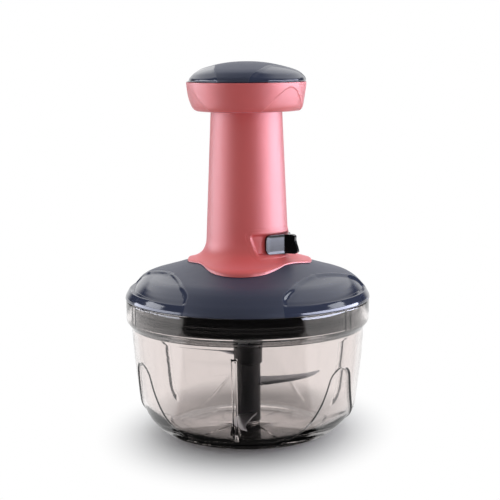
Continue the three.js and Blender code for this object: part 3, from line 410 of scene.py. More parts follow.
class Arches:
    """Three arches.

    half_angle gives half their width by height and top is their height. A step as deep as step and as wide
    as band leads into each. Inside it the wall is flatter by flatness, and no deeper than deepest for that.
    fade and flatten lessen the whole and the flattening by height. bump adds relief inside the wall.
    """

    def __init__(self, half_angle, top, flatness, step, band, deepest, turn=0.0, fade=None, bump=None,
                 flatten=None):
        self.half_angle = half_angle
        self.top = top
        self.flatness = flatness
        self.step = step
        self.band = band
        self.deepest = deepest
        self.turn = turn
        self.fade = fade or (lambda z: 1.0)
        self.bump = bump
        self.flatten = flatten or (lambda z: 1.0)

    def rows(self, points):
        """What each point of an outline that climbs the wall needs for the press."""
        rows = []
        for i, (radius, z) in enumerate(points):
            before = Vector(points[max(i - 1, 0)])
            after = Vector(points[min(i + 1, len(points) - 1)])
            along = after - before
            run = along.length or 1.0
            half = self.half_angle(z)
            slope = (self.half_angle(after.y) - self.half_angle(before.y)) / run
            above = smoothstep(z, self.top, self.top + OVER_HEIGHT)
            columns = mix(max(half, NARROWEST), OVER_ARCH, above)
            rows.append({
                "radius": radius, "z": z, "half": half, "slope": slope, "columns": columns,
                "inward": Vector((-along.y, along.x)) / run,
                "fade": self.fade(z) if half > 0 else 0.0,
                "flatten": self.flatten(z),
            })
        return rows

    def theta(self, row, nominal):
        """Where a column stands at a row."""
        lobe, within = divmod(nominal, SECTOR)
        offset = abs(within - SECTOR / 2)
        half = row["columns"]
        radius = max(row["radius"], self.band)
        band = min(self.band / radius, half / 2)
        edge = min(CORNER_BAND / radius, half / 4)
        places = (0, half - band, half, half + edge, SECTOR / 2 - RIB_ANGLE, SECTOR / 2)
        bent = table_at(offset, BEND_COLUMNS, places)
        return lobe * SECTOR + SECTOR / 2 + math.copysign(bent, within - SECTOR / 2)

    def depth(self, row, theta):
        """How far the wall is pressed in at an angle."""
        offset = abs(theta % SECTOR - SECTOR / 2)
        radius, half = row["radius"], row["half"]
        inside = (half - offset) * radius / math.hypot(1, radius * row["slope"])
        if inside <= 0 or not row["fade"]:
            return 0.0
        flat = self.flatness
        edge = radius ** 2 + 2 * radius * flat * math.cos(half) + flat ** 2
        arc = math.sqrt(edge - (flat * math.sin(offset)) ** 2) - flat * math.cos(offset)
        share = min(1.0, self.deepest / max(radius + flat - math.sqrt(edge), TINY))
        flattened = row["flatten"] * share * (radius - arc)
        return row["fade"] * (self.step * smoothstep(inside, 0, self.band) + flattened)

    def pressed(self, outside, inside, rest=()):
        """The turned body with its arches. rest closes the outline from inside back to outside."""
        rows = self.rows(outside) + self.rows(inside)[::-1]
        inner = range(len(outside), len(rows))
        rows += [dict(rows[-1], radius=r, z=z, fade=0.0) for r, z in rest]
        mesh = spun([(row["radius"], row["z"]) for row in rows], STEPS)
        layer = mesh.verts.layers.int["row"]
        polished = mesh.verts.layers.float.new("polished")
        for vertex in mesh.verts:
            row = rows[vertex[layer]]
            if row["radius"] < TINY:
                continue
            theta = self.theta(row, column_of(vertex, STEPS) * 2 * math.pi / STEPS)
            depth = self.depth(row, theta)
            vertex[polished] = float(abs(theta % SECTOR - SECTOR / 2) < row["half"] + ON_EDGE)
            if self.bump and vertex[layer] in inner:
                depth += self.bump(row["radius"], row["z"], theta)
            radius = row["radius"] + row["inward"].x * depth
            vertex.co = polar(radius, theta + self.turn, row["z"] + row["inward"].y * depth)
        return solid(mesh)


def arch_half(base, start, rise, power):
    """Half width by height of an arch whose sides run as base says and close over its top."""
    def half(z):
        share = max(z - start, 0.0) / rise
        return math.radians(base(z)) * math.sqrt(1 - share ** power) if share < 1 else 0.0
    return half


def heights(*spans):
    """Heights over spans of (from, to, spacing)."""
    levels = []
    for low, high, spacing in spans:
        count = max(1, round((high - low) / spacing))
        levels += [mix(low, high, i / count) for i in range(count)]
    return levels + [spans[-1][1]]


# Materials. Grain and relief are in millimetres.

FINISH = {}
CARRIED = {
    "zinc": ("pivot_pin", "cover_screw_1", "cover_screw_2", "cover_screw_3", "column_screw_1",
             "column_screw_2", "column_screw_3", "head_screw"),
    "wire": ("return_spring", "coupler_clip", "twisted_rod"),
    "natural": ("stop_ring", "guide_sleeve", "clutch_housing", "lower_clutch", "upper_clutch", "drive_nut"),
    "black": ("lock_latch",),
    "charcoal": ("drive_coupler",),
}


def add_node(tree, kind, inputs=None, **settings):
    """A node with its settings. Each of its inputs is a value, or the socket or node that feeds it."""
    node = tree.nodes.new('ShaderNode' + kind)
    for name, value in settings.items():
        setattr(node, name, value)
    for name, value in (inputs or {}).items():
        if isinstance(value, bpy.types.Node):
            value = next(output for output in value.outputs if output.enabled)
        if isinstance(value, bpy.types.NodeSocket):
            tree.links.new(value, node.inputs[name])
        else:
            node.inputs[name].default_value = value
    return node


def blank_material(name):
    material = bpy.data.materials.new(name)
    material.use_nodes = True
    material.node_tree.nodes.clear()
    return material, material.node_tree


def shade(tree, shader):
    add_node(tree, 'OutputMaterial', {"Surface": shader})


def spread(tree, source, low, high):
    """A pattern of 0 to 1 taken to another range."""
    return add_node(tree, 'MapRange', {"Value": source, "To Min": low, "To Max": high})


def noise(tree, vector, size, detail=2.0, roughness=0.5):
    """Noise whose cells are about a size wide."""
    return add_node(tree, 'TexNoise', {
        "Vector": vector, "Scale": 1 / (size * MM), "Detail": detail, "Roughness": roughness})


def back_share(tree, vector, azimuth, start, end, back=1.0, more=0.0):
    """Dark in front and pale behind, blended between two distances behind the plane facing the camera."""
    away = add_node(tree, 'VectorMath', {
        0: vector, 1: (-math.sin(azimuth), math.cos(azimuth), 0)}, operation='DOT_PRODUCT')
    away = add_node(tree, 'Math', {0: away, 1: more}, operation='ADD')
    return add_node(tree, 'MapRange', {
        "Value": away, "From Min": start, "From Max": end, "To Min": 0.02, "To Max": back},
        interpolation_type='SMOOTHSTEP')


def tinted(tree, vector, base, size, low, high):
    """The base colour, a little darker and lighter in soft clouds."""
    cloud = spread(tree, noise(tree, vector, size), low, high)
    return add_node(tree, 'VectorMath', {0: base, "Scale": cloud}, operation='SCALE')


def moulded(name, base, rough, grain, relief, polished=None, more=None):
    """Injection-moulded plastic: even colour with faint clouds, the tool's fine grain and light wear.

    polished is the roughness where the mould was polished, which a piece's attribute tells. more holds
    other settings of the shader.
    """
    material, tree = blank_material(name)
    place = add_node(tree, 'TexCoord').outputs["Object"]
    wear = noise(tree, place, 5, 4.0, 0.6)
    roughness = spread(tree, wear, *rough)
    height = noise(tree, place, grain, 1.0)
    if polished:
        share = add_node(tree, 'Attribute', attribute_name="polished").outputs["Fac"]
        roughness = add_node(tree, 'Mix', {0: share, 2: roughness, 3: spread(tree, wear, *polished)})
        height = add_node(tree, 'Math', {0: height, 1: spread(tree, share, 1.0, 0.04)},
                          operation='MULTIPLY')
    shade(tree, add_node(tree, 'BsdfPrincipled', {
        "Base Color": tinted(tree, place, base, 14, 0.97, 1.03), "Roughness": roughness, "IOR": 1.53,
        "Normal": add_node(tree, 'Bump', {"Height": height, "Distance": relief * MM, "Strength": 1.0}),
        **(more or {})}))
    return material


def clear_moulded(name, base):
    """Clear styrene plastic: sharp gloss, a faint smoke tint, and the shadow of glass kept light."""
    material, tree = blank_material(name)
    place = add_node(tree, 'TexCoord').outputs["Object"]
    flow = noise(tree, place, 9)
    glass = add_node(tree, 'BsdfPrincipled', {
        "Base Color": (*base, 1.0), "IOR": 1.57, "Transmission Weight": 1.0,
        "Roughness": spread(tree, noise(tree, place, 3, 5.0, 0.65), 0.015, 0.05),
        "Normal": add_node(tree, 'Bump', {"Height": flow, "Distance": 0.02 * MM, "Strength": 0.6})})
    # Two walls lie one behind the other, so each passes a third of the light
    ghost = add_node(tree, 'BsdfTransparent', {"Color": (*(share * 0.32 for share in base), 1.0)})
    rays = add_node(tree, 'LightPath')
    shade(tree, add_node(tree, 'MixShader', {"Fac": rays.outputs["Is Shadow Ray"], 1: glass, 2: ghost}))
    return material


def steel(name, code, rough, grain, stretch):
    """Stainless or plated steel: fine parallel marks of the grind, stretched along one way."""
    material, tree = blank_material(name)
    place = add_node(tree, 'TexCoord').outputs["Object"]
    lined = add_node(tree, 'Mapping', {"Vector": place, "Scale": stretch})
    lines = noise(tree, lined, grain, 3.0, 0.7)
    shade(tree, add_node(tree, 'BsdfPrincipled', {
        "Base Color": tinted(tree, place, linear(code)[:3], 6, 0.95, 1.04), "Metallic": 1.0,
        "Roughness": spread(tree, lines, *rough),
        "Normal": add_node(tree, 'Bump', {"Height": lines, "Distance": 0.006 * MM, "Strength": 1.0})}))
    return material


def painted_board(settings):
    """Board that keeps the object's shadow: grey paint near by, lit by the lamps, glowing white further off.
    The grey near the object deepens its shadow into a painted shade.
    """
    material, tree = blank_material("painted_board_white")
    place = add_node(tree, 'TexCoord').outputs["Object"]
    rays = add_node(tree, 'LightPath').outputs
    board = add_node(tree, 'BsdfPrincipled', {
        "Base Color": (*settings.floor, 1.0), "Roughness": 0.7,
        "Normal": add_node(tree, 'Bump', {"Height": noise(tree, place, 1.2, 1.0), "Distance": 0.01 * MM})})
    # The painted shade, where the grey board shows instead of the glow, reaches further to the front than to
    # the sides
    oval = add_node(tree, 'VectorMath', {0: place, 1: (1.0, 0.7, 1.0)}, operation='MULTIPLY')
    distance = add_node(tree, 'VectorMath', {0: oval}, operation='LENGTH')
    past_painted_shade = add_node(tree, 'MapRange', {"Value": distance, "From Min": 35 * MM, "From Max": 86 * MM},
                   interpolation_type='SMOOTHSTEP')
    # Rays through the bowl see the floor glow at least 0.3 even in the shadow: painted light that lifts the
    # shadow seen through the bowl
    seen = add_node(tree, 'Math', {0: past_painted_shade, 1: rays["Is Camera Ray"]}, operation='MULTIPLY')
    painted_glow_through_bowl = add_node(tree, 'Math', {
        0: spread(tree, past_painted_shade, 0.3, 1.0), 1: rays["Is Transmission Ray"]}, operation='MULTIPLY')
    seen = add_node(tree, 'Math', {0: seen, 1: painted_glow_through_bowl}, operation='MAXIMUM')
    both = add_node(tree, 'MixShader', {"Fac": seen, 1: board, 2: add_node(tree, 'Emission')})
    # The floor in front lies in the dark half of the studio, so gloss shows it dim
    course = add_node(tree, 'VectorMath', {0: place}, operation='NORMALIZE')
    dim = back_share(tree, course, settings.azimuth - math.radians(4), -0.61, -0.54)
    # Near the object the glow seen in gloss falls to 0.35 of itself: a painted shadow in the floor's
    # reflections
    dim = add_node(tree, 'Math', {0: dim, 1: spread(tree, past_painted_shade, 0.35, 1.0)}, operation='MULTIPLY')
    dim = add_node(tree, 'Emission', {"Strength": dim})
    shade(tree, add_node(tree, 'MixShader', {"Fac": rays["Is Glossy Ray"], 1: both, 2: dim}))
    return material


def make_finishes(settings):
    # Spark-eroded mould: the real grain of about 0.1 mm is drawn at 0.5 mm, which still shows. The light
    # that it scatters blooms pale at the sides, which the high IOR and the sheen stand for
    FINISH["pink"] = moulded("satin_abs_pink", settings.pink, (0.45, 0.55), 0.5, 0.012, more={
        "IOR": 1.9, "Sheen Weight": 0.4, "Sheen Roughness": 0.4, "Sheen Tint": (1.0, 0.84, 1.0, 1.0)})
    # Spark-eroded between polished panels: a dull speckled grey beside sharp reflections
    FINISH["slate"] = moulded("grained_abs_slate", settings.slate, (0.44, 0.52), 0.6, 0.02,
                              polished=(0.07, 0.12))
    # Polished mould: sharp reflections that waver a little
    FINISH["black"] = moulded("polished_abs_black", settings.black, (0.12, 0.2), 3, 0.004)
    # Lightly grained mould: a soft sheen down the shaft
    FINISH["charcoal"] = moulded("satin_pp_charcoal", settings.charcoal, (0.34, 0.46), 0.6, 0.01)
    # Turned from rod: waxy white with a dull gloss
    FINISH["natural"] = moulded("machined_pom_natural", settings.natural, (0.32, 0.42), 0.5, 0.008)
    # Smooth moulded rubber: dark with a soft gleam
    FINISH["silicone"] = moulded("moulded_silicone", settings.silicone, (0.2, 0.3), 0.5, 0.004,
                                 more={"IOR": 1.41})
    FINISH["clear"] = clear_moulded("moulded_san_clear", settings.clear)
    # Ground flat: marks 0.15 mm apart run across the blade, drawn twice as coarse
    FINISH["blade"] = steel("ground_stainless", "#a9abb0", (0.26, 0.4), 0.3, (1.0, 1.0, 1.0))
    # Bright zinc on the screws, and drawn wire for the spring
    FINISH["zinc"] = steel("zinc_plated_steel", "#c4c8cf", (0.26, 0.4), 0.4, (1.0, 1.0, 4.0))
    FINISH["wire"] = steel("drawn_spring_steel", "#b3b4b8", (0.24, 0.34), 0.3, (1.0, 1.0, 0.3))


# Operators


class StageOperator(bpy.types.Operator):
    """Sets the camera, the lamps, the world and the floor"""
    bl_idname = "chopper.stage"
    bl_label = "Stage"

    def execute(self, context):
        settings = context.scene.chopper_stage
        self.camera(context, settings)
        self.floor(context, settings)
        self.lamps(context, settings)
        self.world(context)
        context.scene.view_settings.view_transform = 'Standard'
        return {'FINISHED'}

    def camera(self, context, settings):
        right = Vector((math.cos(settings.azimuth), math.sin(settings.azimuth), 0))
        away = Vector((-math.sin(settings.azimuth), math.cos(settings.azimuth), 0))
        ahead = away * math.cos(settings.pitch) - AXIS * math.sin(settings.pitch)
        target = AXIS * settings.height + right * settings.aside
        right = Matrix.Rotation(settings.roll, 3, ahead) @ right
        up = right.cross(ahead)
        data = bpy.data.cameras.new("camera")
        data.lens = settings.lens
        data.sensor_width = 36
        data.clip_start = 0.01
        camera = bpy.data.objects.new("camera", data)
        camera.matrix_world = Matrix.Translation(target - ahead * settings.distance) @ Matrix(
            (right, up, -ahead)).transposed().to_4x4()
        context.scene.collection.objects.link(camera)
        context.scene.camera = camera

    def floor(self, context, settings):
        mesh = bmesh.new()
        bmesh.ops.create_grid(mesh, x_segments=8, y_segments=8, size=4.0)
        data = bpy.data.meshes.new("floor")
        mesh.to_mesh(data)
        mesh.free()
        floor = bpy.data.objects.new("floor", data)
        context.scene.collection.objects.link(floor)
        data.materials.append(painted_board(settings))

    def lamps(self, context, settings):
        # Name, azimuth in degrees from the camera, height, distance, width and tallness in metres,
        # radiance and colour
        for name, azimuth, height, distance, width, tall, radiance, tint in (
                ("right_wall", 85, 0.12, 0.8, 1.15, 0.32, 13.0, (0.77, 0.8, 1.0)),
                ("left_wall", -94, 0.12, 0.8, 1.0, 0.32, 6.2, (0.84, 0.87, 1.0)),
                ("right_softbox", 95, 0.37, 0.66, 0.22, 0.16, 5.0, (0.9, 0.93, 1.0)),
                ("left_softbox", -100, 0.36, 0.68, 0.28, 0.16, 5.0, (0.92, 0.94, 1.0)),
                ("right_fill", 70, 0.3, 1.2, 0.9, 0.9, 1.0, (1.0, 1.0, 1.0)),
                ("top_fill", 180, 1.1, 0.45, 0.9, 0.9, 2.4, (0.9, 0.93, 1.0))):
            data = bpy.data.lights.new(name, 'AREA')
            data.shape = 'RECTANGLE'
            data.size = width
            data.size_y = tall
            data.energy = radiance * math.pi * width * tall
            data.color = tint
            lamp = bpy.data.objects.new(name, data)
            place = polar(distance, settings.azimuth + math.radians(azimuth), height)
            aim = Vector((0, 0, 0.1)) - place
            lamp.matrix_world = Matrix.Translation(place) @ aim.to_track_quat('-Z', 'Y').to_matrix().to_4x4()
            lamp.visible_camera = False
            lamp.visible_transmission = False
            # The fills light matt surfaces alone, and the walls gloss alone
            lamp.visible_glossy = not name.endswith("fill")
            lamp.visible_diffuse = not name.endswith("wall")
            context.scene.collection.objects.link(lamp)

    def world(self, context):
        world = bpy.data.worlds.new("studio")
        world.use_nodes = True
        tree = world.node_tree
        tree.nodes.clear()
        rays = add_node(tree, 'LightPath').outputs
        seen = add_node(tree, 'Math', {0: rays["Is Camera Ray"], 1: rays["Is Transmission Ray"]},
                        operation='MAXIMUM')
        # A pale sweep leans over from the back, under a dark ceiling and before a dark front
        azimuth = context.scene.chopper_stage.azimuth
        place = add_node(tree, 'TexCoord').outputs["Generated"]
        up = add_node(tree, 'SeparateXYZ', {0: place}).outputs["Z"]
        lean = add_node(tree, 'Math', {0: up, 1: 1.69}, operation='MULTIPLY')
        sweep = back_share(tree, place, azimuth, 1.26, 1.40, 1.2, lean)
        wall = back_share(tree, place, azimuth, 0.8, 0.92)
        sweep = add_node(tree, 'Math', {0: sweep, 1: wall}, operation='MAXIMUM')
        under = add_node(tree, 'MapRange', {
            "Value": up, "From Min": 0.8, "From Max": 0.92, "To Min": 1.0, "To Max": 0.1})
        room = add_node(tree, 'Math', {0: sweep, 1: under}, operation='MULTIPLY')
        # Matt surfaces are lit evenly, as in a tent
        room = add_node(tree, 'Mix', {0: rays["Is Glossy Ray"], 2: 0.5, 3: room})
        room = add_node(tree, 'Math', {0: room, 1: seen}, operation='MAXIMUM')
        light = add_node(tree, 'Background', {"Color": (1.0, 1.0, 1.0, 1.0), "Strength": room})
        add_node(tree, 'OutputWorld', {"Surface": light})
        context.scene.world = world


class FinishOperator(bpy.types.Operator):
    """Makes the materials and gives them to the CAD nodes that stay"""
    bl_idname = "chopper.finishes"
    bl_label = "Finishes"

    def execute(self, context):
        make_finishes(context.scene.chopper_finish)
        for finish, nodes in CARRIED.items():
            for name in nodes:
                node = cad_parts[name]
                node.data.materials.clear()
                node.data.materials.append(FINISH[finish])
        return {'FINISHED'}


class BowlOperator(bpy.types.Operator):
    """Makes the clear bowl with its arches, ribs and foot"""
    bl_idname = "chopper.bowl"
    bl_label = "Bowl"

    def execute(self, context):
        self.sizes = s = sizes_of(context.scene.chopper_bowl)
        sides = arch_half(lambda z: 4.5 + 40 * math.exp(-max(z, 0) / 16.5), start=36, rise=7.6, power=2.6)
        arches = Arches(sides, top=43.6, flatness=60, step=0.6, band=1.2, deepest=2, bump=self.ribs,
                        fade=lambda z: smoothstep(z, 0, 6), flatten=lambda z: smoothstep(z, 0, 20))
        inside = self.inside()
        floor = inside[0][1]
        boss = [(7.2, floor), (6.6, floor + 0.2), (6.4, 5.1), (6.1, 5.3), (2.8, 5.3), (2.8, 2), (0, 2)]
        ring = s.foot_radius - 6
        under = [(0, 0.8), (ring, 0.8), (ring, 0.35), (ring + 0.4, 0)]
        mesh = arches.pressed(self.outside(), inside, boss + under)
        piece("bowl_clear", mesh, "clear", "bowl", "bowl", crease=38)
        return {'FINISHED'}

    def outside(self):
        s = self.sizes
        foot, corner = (s.foot_radius, 0), (s.corner_radius, s.corner_height)
        belt = (s.belt_radius, s.belt_height)
        outline = rounded([(foot[0] - 1.2, 0), (foot[0], 0, 0.9), (foot[0] + 1.4, 1.1)])
        outline += self.corner_curve(foot, corner, 26)[2:]
        # Rows are closest where the arches close
        levels = heights((s.corner_height, 34, 1.3), (34, 46, 0.45), (46, s.belt_height, 1.9))
        outline += [(self.wall_radius(corner, belt, z), z) for z in levels[1:]]
        step = [(mix(belt[0], s.rim_radius, a), mix(belt[1], s.rim_foot, b)) for a, b in (
            (0, 0), (0.16, 0.2), (0.5, 0.5), (0.83, 0.83), (1, 1.12))]
        outline += through(step, 3)[1:]
        return outline + rounded([(s.rim_radius, 67.5), (s.rim_radius, BOWL_TOP, 0.8),
                                  (s.rim_radius - 1.2, BOWL_TOP)])

    def inside(self):
        s = self.sizes
        floor, corner = (45, 4.2), (s.corner_radius - s.wall, s.corner_height)
        ledge = (s.belt_radius - s.wall, s.ledge_height)
        mouth = s.rim_radius - s.rim_wall
        # and where the ribs end
        levels = heights((s.corner_height, 34, 1.3), (34, 46, 0.45), (46, 52, 1.5), (52, 55, 0.4),
                         (55, ledge[1] - 0.7, 1.9))
        outline = self.corner_curve(floor, corner, 24)
        outline += [(self.wall_radius(corner, ledge, z), z) for z in levels[1:]]
        outline += rounded([(ledge[0], ledge[1] - 0.5), (ledge[0] + 0.1, ledge[1] + 0.2, 0.4),
                            (mouth, ledge[1] + 0.3, 0.4), (mouth, ledge[1] + 1.5)])
        outline += [(mouth, z) for z in (64, 65.4, 67, 70, 73, 74.4)]
        return outline + rounded([(mouth, BOWL_TOP - 1.1), (mouth, BOWL_TOP, 0.8), (mouth + 1, BOWL_TOP)])

    def corner_curve(self, foot, corner, count):
        controls = [(mix(foot[0], corner[0], a), mix(foot[1], corner[1], b)) for a, b in (
            (0.524, 0.175), (0.94, 0.45))]
        return bezier([foot, *controls, corner], count)

    def wall_radius(self, corner, belt, z):
        share = (z - corner[1]) / (belt[1] - corner[1])
        middle = mix(corner[0], belt[0], 0.74)
        return mix(mix(corner[0], middle, share), mix(middle, belt[0], share), share)

    def ribs(self, radius, z, theta):
        """Ribs inside the wall between the arches, and short marks inside the rim over them."""
        s = self.sizes
        offset = abs(theta % SECTOR - SECTOR / 2)
        if s.rib_foot < z < s.rib_top:
            away = (SECTOR / 2 - offset) * radius
            width = smoothstep(away, s.rib_width / 2 + 0.12, s.rib_width / 2 - 0.4)
            ends = smoothstep(z, s.rib_top, s.rib_top - 1.4)
            return s.rib_depth * width * ends * smoothstep(z, s.rib_foot, s.rib_foot + 3)
        if s.ledge_height + 1 < z < BOWL_TOP - 0.6:
            return 0.5 * smoothstep(offset * radius, 2.8, 1.8)
        return 0.0


class LidOperator(bpy.types.Operator):
    """Makes the lid's cover with its three panels, its underside and the seal"""
    bl_idname = "chopper.lid"
    bl_label = "Lid"

    def execute(self, context):
        s = sizes_of(context.scene.chopper_lid)
        edge = s.edge_radius
        sides = arch_half(lambda z: 37, start=84, rise=8.7, power=2.3)
        panels = Arches(sides, top=92.7, flatness=14, step=1, band=3.4, deepest=3,
                        fade=lambda z: smoothstep(z, 81.5, 82.3))
        bottom = rounded([(edge - 1.2, LID_SEAT), (edge, LID_SEAT, 0.5), (edge + 0.1, 76.9)])
        dome = through([(edge, 77.2), (edge - 0.25, 78.2), (edge - 0.85, 79.3), (66.45, 81), (64.75, 83),
                        (62.95, 85), (60.7, 87), (57.6, 88.95), (54.9, 90.05),
                        (CONE_RADIUS, lid_top(CONE_RADIUS))], 6)
        radii = [mix(CONE_RADIUS, s.neck_radius, i / 22) for i in range(1, 23)]
        outside = bottom + dome + [(radius, lid_top(radius)) for radius in radii]
        inside = [(edge - s.wall, LID_SEAT + 0.2), (edge - s.wall, 78.6)]
        inside += skin(panels.rows(outside), s.wall, low=79, widest=66.6)[2:]
        inside[-1] = (s.neck_radius, inside[-1][1])
        piece("lid_cover_slate", panels.pressed(outside, inside), "slate", "lid", "lid_cover")
        base = rounded([
            (6.2, 65.2, 0.4), (8.6, 65.2, 0.5), (8.6, 74.1, 0.8), (61.1, 74.1, 0.6), (61.1, 64.7, 0.5),
            (63.3, 64.7, 0.5), (63.3, 74.1, 0.2), (64.7, 74.1, 0.3), (64.7, 76.7, 0.3), (6.2, 76.7)])
        turned("lid_base_black", base, "black", "lid", "lid_base", RING_STEPS)
        seal = rounded([(63.6, 67.1), (64.5, 67.1, 0.3), (65.1, 67.5, 0.3), (64.3, 68.1, 0.3),
                        (64.3, 68.7, 0.3), (65.1, 69.4, 0.3), (64.3, 70, 0.3), (64.1, 70.5), (63.6, 70.5)])
        turned("lid_seal_ring", seal, "silicone", "lid", "lid_seal", RING_STEPS)
        bush = rounded([(4.2, 65.2, 0.2), (5.9, 65.2, 0.3), (5.9, 76.7, 0.3), (4.2, 76.7)])
        turned("coupler_bush_natural", bush, "natural", "lid", "coupler_bush")
        return {'FINISHED'}


class ColumnOperator(bpy.types.Operator):
    """Makes the column with its lobed flare and the recess for the lock slider"""
    bl_idname = "chopper.column"
    bl_label = "Column"

    STEPS = 600
    # The flare's edge: angle in degrees and radius in mm, broad in front, narrower at the sides
    EDGE = ((-180, 32.2), (-160, 32.8), (-140, 36), (-120, 37.5), (-104, 35.2), (-90, 33.6), (-80, 33.4),
            (-72, 33.3), (-66, 32.8), (-60, 32.1), (-52, 31.6), (-45, 32.1), (-38, 33.6), (-29, 36.8),
            (-21, 39.8), (-14, 41.6), (-7, 42.8), (1, 43.2), (8, 42.8), (15, 41.6), (22, 39.8), (30, 36.9),
            (38, 34.3), (46, 32.2), (52, 31.6), (58, 31.6), (64, 32.1), (70, 32.9), (77, 34.1), (84, 35.6),
            (92, 36), (104, 36.3), (120, 37.5), (140, 36), (160, 32.8), (180, 32.2))
    # The recess and its bead lie below this height, on the column's right half
    RECESS_BELOW = 120

    def execute(self, context):
        self.sizes = sizes_of(context.scene.chopper_column)
        self.edge = tuple(zip(*through(self.EDGE, 8)))
        mesh = spun(self.outline(0.0), self.STEPS)
        layer = mesh.verts.layers.int["row"]
        outlines = {}
        for vertex in mesh.verts:
            column = column_of(vertex, self.STEPS)
            theta = column * 2 * math.pi / self.STEPS
            if column not in outlines:
                outlines[column] = self.outline(theta)
            radius, z = outlines[column][vertex[layer]]
            if vertex[layer] < self.outer and theta < math.pi and z < self.RECESS_BELOW:
                radius = self.with_recess(radius, theta, z)
            vertex.co = polar(radius, theta, z)
        piece("column_casing_pink", solid(mesh), "pink", "lid", "column_casing", crease=50)
        return {'FINISHED'}

    def outline(self, theta):
        s = self.sizes
        degrees = (math.degrees(theta) + 180) % 360 - 180
        front = 1 - smoothstep(abs(degrees), 8, 45)
        edge_radius = table_at(degrees, *self.edge)
        edge = (edge_radius, lid_top(edge_radius) + 0.3)
        lip_radius = edge_radius - 0.7 - 3.8 * front
        lip = (lip_radius, lid_top(lip_radius) + 1.2 + 1.4 * front)
        top = (s.shoulder_radius, s.shoulder_height)
        run = 0.6 * (lip[0] - top[0])
        flare = bezier([top, (top[0], mix(top[1], lip[1], 0.66)), (lip[0] - run, lip[1] + run * 0.22), lip],
                       46)
        corner = (mix(lip[0], edge[0], 0.8), mix(lip[1], edge[1], 0.22))
        round_lip = bezier([lip, corner, (edge[0] - 0.02, mix(corner[1], edge[1], 0.3)), edge], 8)
        straight = [(mix(top[0], s.top_radius, (z - top[1]) / (CASING_TOP - top[1])), z)
                    for z in heights((top[1], 117, 0.42), (117, CASING_TOP, 3.0))[::-1]]
        outer = straight + flare[1:] + round_lip[1:]
        self.outer = len(outer)
        spigot_top = lid_top(25) + 0.3
        return outer + [(25, spigot_top), (25, CASING_BOTTOM), (21, CASING_BOTTOM), (21, spigot_top),
                        (20.4, spigot_top + 0.6), (20.4, top[1]), (17.54, CASING_TOP)]

    def inside(self, theta, z):
        """Distance inside the recess's rounded outline."""
        s = self.sizes
        low, high = LOCK_BOTTOM - 0.4, LOCK_TOP + 0.4
        left = s.recess_left + s.recess_slant * min(max(1 - (z - low) / (high - low), -0.3), 1.3)
        sides = ((theta - left) * s.recess_radius, (math.pi / 2 - theta) * s.recess_radius)
        ends = ((high - z, 2.4), (z - low, 1.6))
        return min(self.within_corner(side, end, fillet) for side in sides for end, fillet in ends)

    def within_corner(self, side, end, fillet):
        if side < fillet and end < fillet:
            return fillet - math.hypot(fillet - side, fillet - end)
        return min(side, end)

    def with_recess(self, radius, theta, z):
        """The column's radius with the recess, the bead round it and the low pad they lie on."""
        inside = self.inside(theta, z)
        if inside < -4:
            return radius
        bead = max(0.0, 1 - ((inside + 0.75) / 0.75) ** 2) ** 1.5
        around = radius + 0.25 * smoothstep(inside, -3.2, -2.5) + 0.35 * bead
        return mix(around, min(self.sizes.recess_radius, around), smoothstep(inside, 0.0, 0.9))


class KnobOperator(bpy.types.Operator):
    """Makes the knob: its collar and its cap, with their three facets"""
    bl_idname = "chopper.knob"
    bl_label = "Knob"

    def execute(self, context):
        s = sizes_of(context.scene.chopper_knob)
        self.collar(s)
        self.cap(s)
        return {'FINISHED'}

    def collar(self, s):
        low, high = COLLAR_BOTTOM, COLLAR_TOP
        sides = arch_half(lambda z: 34 - 2 * (z - 180), start=189.5, rise=4.3, power=4)
        facets = Arches(sides, top=193.8, flatness=9, step=0.25, band=1, deepest=1, turn=s.turn,
                        fade=lambda z: smoothstep(z, 179.9, 180.4))
        outside = through([(27.6, low), (29.6, low + 0.35), (30.7, low + 1.5), (31.35, low + 3.4),
                           (31.95, low + 6.8), (32.45, low + 10), (32.9, low + 13),
                           (s.top_radius, low + 15)], 6)
        outside += rounded([(s.top_radius, high - 0.5), (s.top_radius, high, 0.3),
                            (s.top_radius - 0.4, high)])
        inside = skin(facets.rows(outside), s.wall, low + 4.6, high - 0.9)
        inside.append((inside[-1][0], high))
        # The web across the knob holds the plunger tube, and a sleeve hangs from it inside the column
        web_low, web_high = 186.8, 189.2
        rest = [(27.6, low + 2.4), (s.opening + 2.4, low + 2.4), (s.opening + 2.4, web_high),
                (2.1, web_high), (2.1, web_low), (14.9, web_low), (14.9, low), (16.9, low),
                (16.9, web_low), (s.opening, web_low), (s.opening, low + 0.5), (s.opening + 0.3, low + 0.1),
                (s.opening + 0.8, low)]
        mesh = facets.pressed(outside, inside, rest)
        piece("head_collar_pink", mesh, "pink", "plunger", "head_collar")

    def cap(self, s):
        low = COLLAR_TOP + 0.3
        sides = arch_half(lambda z: 44.5, start=196.5, rise=8.5, power=2.3)
        facets = Arches(sides, top=205, flatness=5, step=0.25, band=2.5, deepest=3, turn=s.turn,
                        fade=lambda z: smoothstep(z, 196.1, 196.9))
        side = through([(33.0, low + 0.5), (32.95, low + 1.3), (32.55, low + 2.2), (31.6, low + 3.3),
                        (29.4, low + 5.15), (26.2, low + 6.6), (22.4, low + 7.75), (18.1, low + 8.85),
                        (13.3, low + 9.85), (8.6, low + 10.5), (4.2, low + 10.82), (0.0, low + 10.9)], 7)
        outside = rounded([(32.6, low), (33.0, low, 0.3), (33.05, low + 0.4)])[:-1] + side
        inside = [point for point in skin(facets.rows(outside), s.wall, low + 2) if point[0] > 0]
        inside.append((0.0, outside[-1][1] - s.wall))
        rest = [(28.3, low + 0.3), (28.3, low - 3.9), (26.5, low - 3.9), (26.5, low + 0.3)]
        mesh = facets.pressed(outside, inside, rest)
        piece("head_cap_slate", mesh, "slate", "plunger", "head_cap")


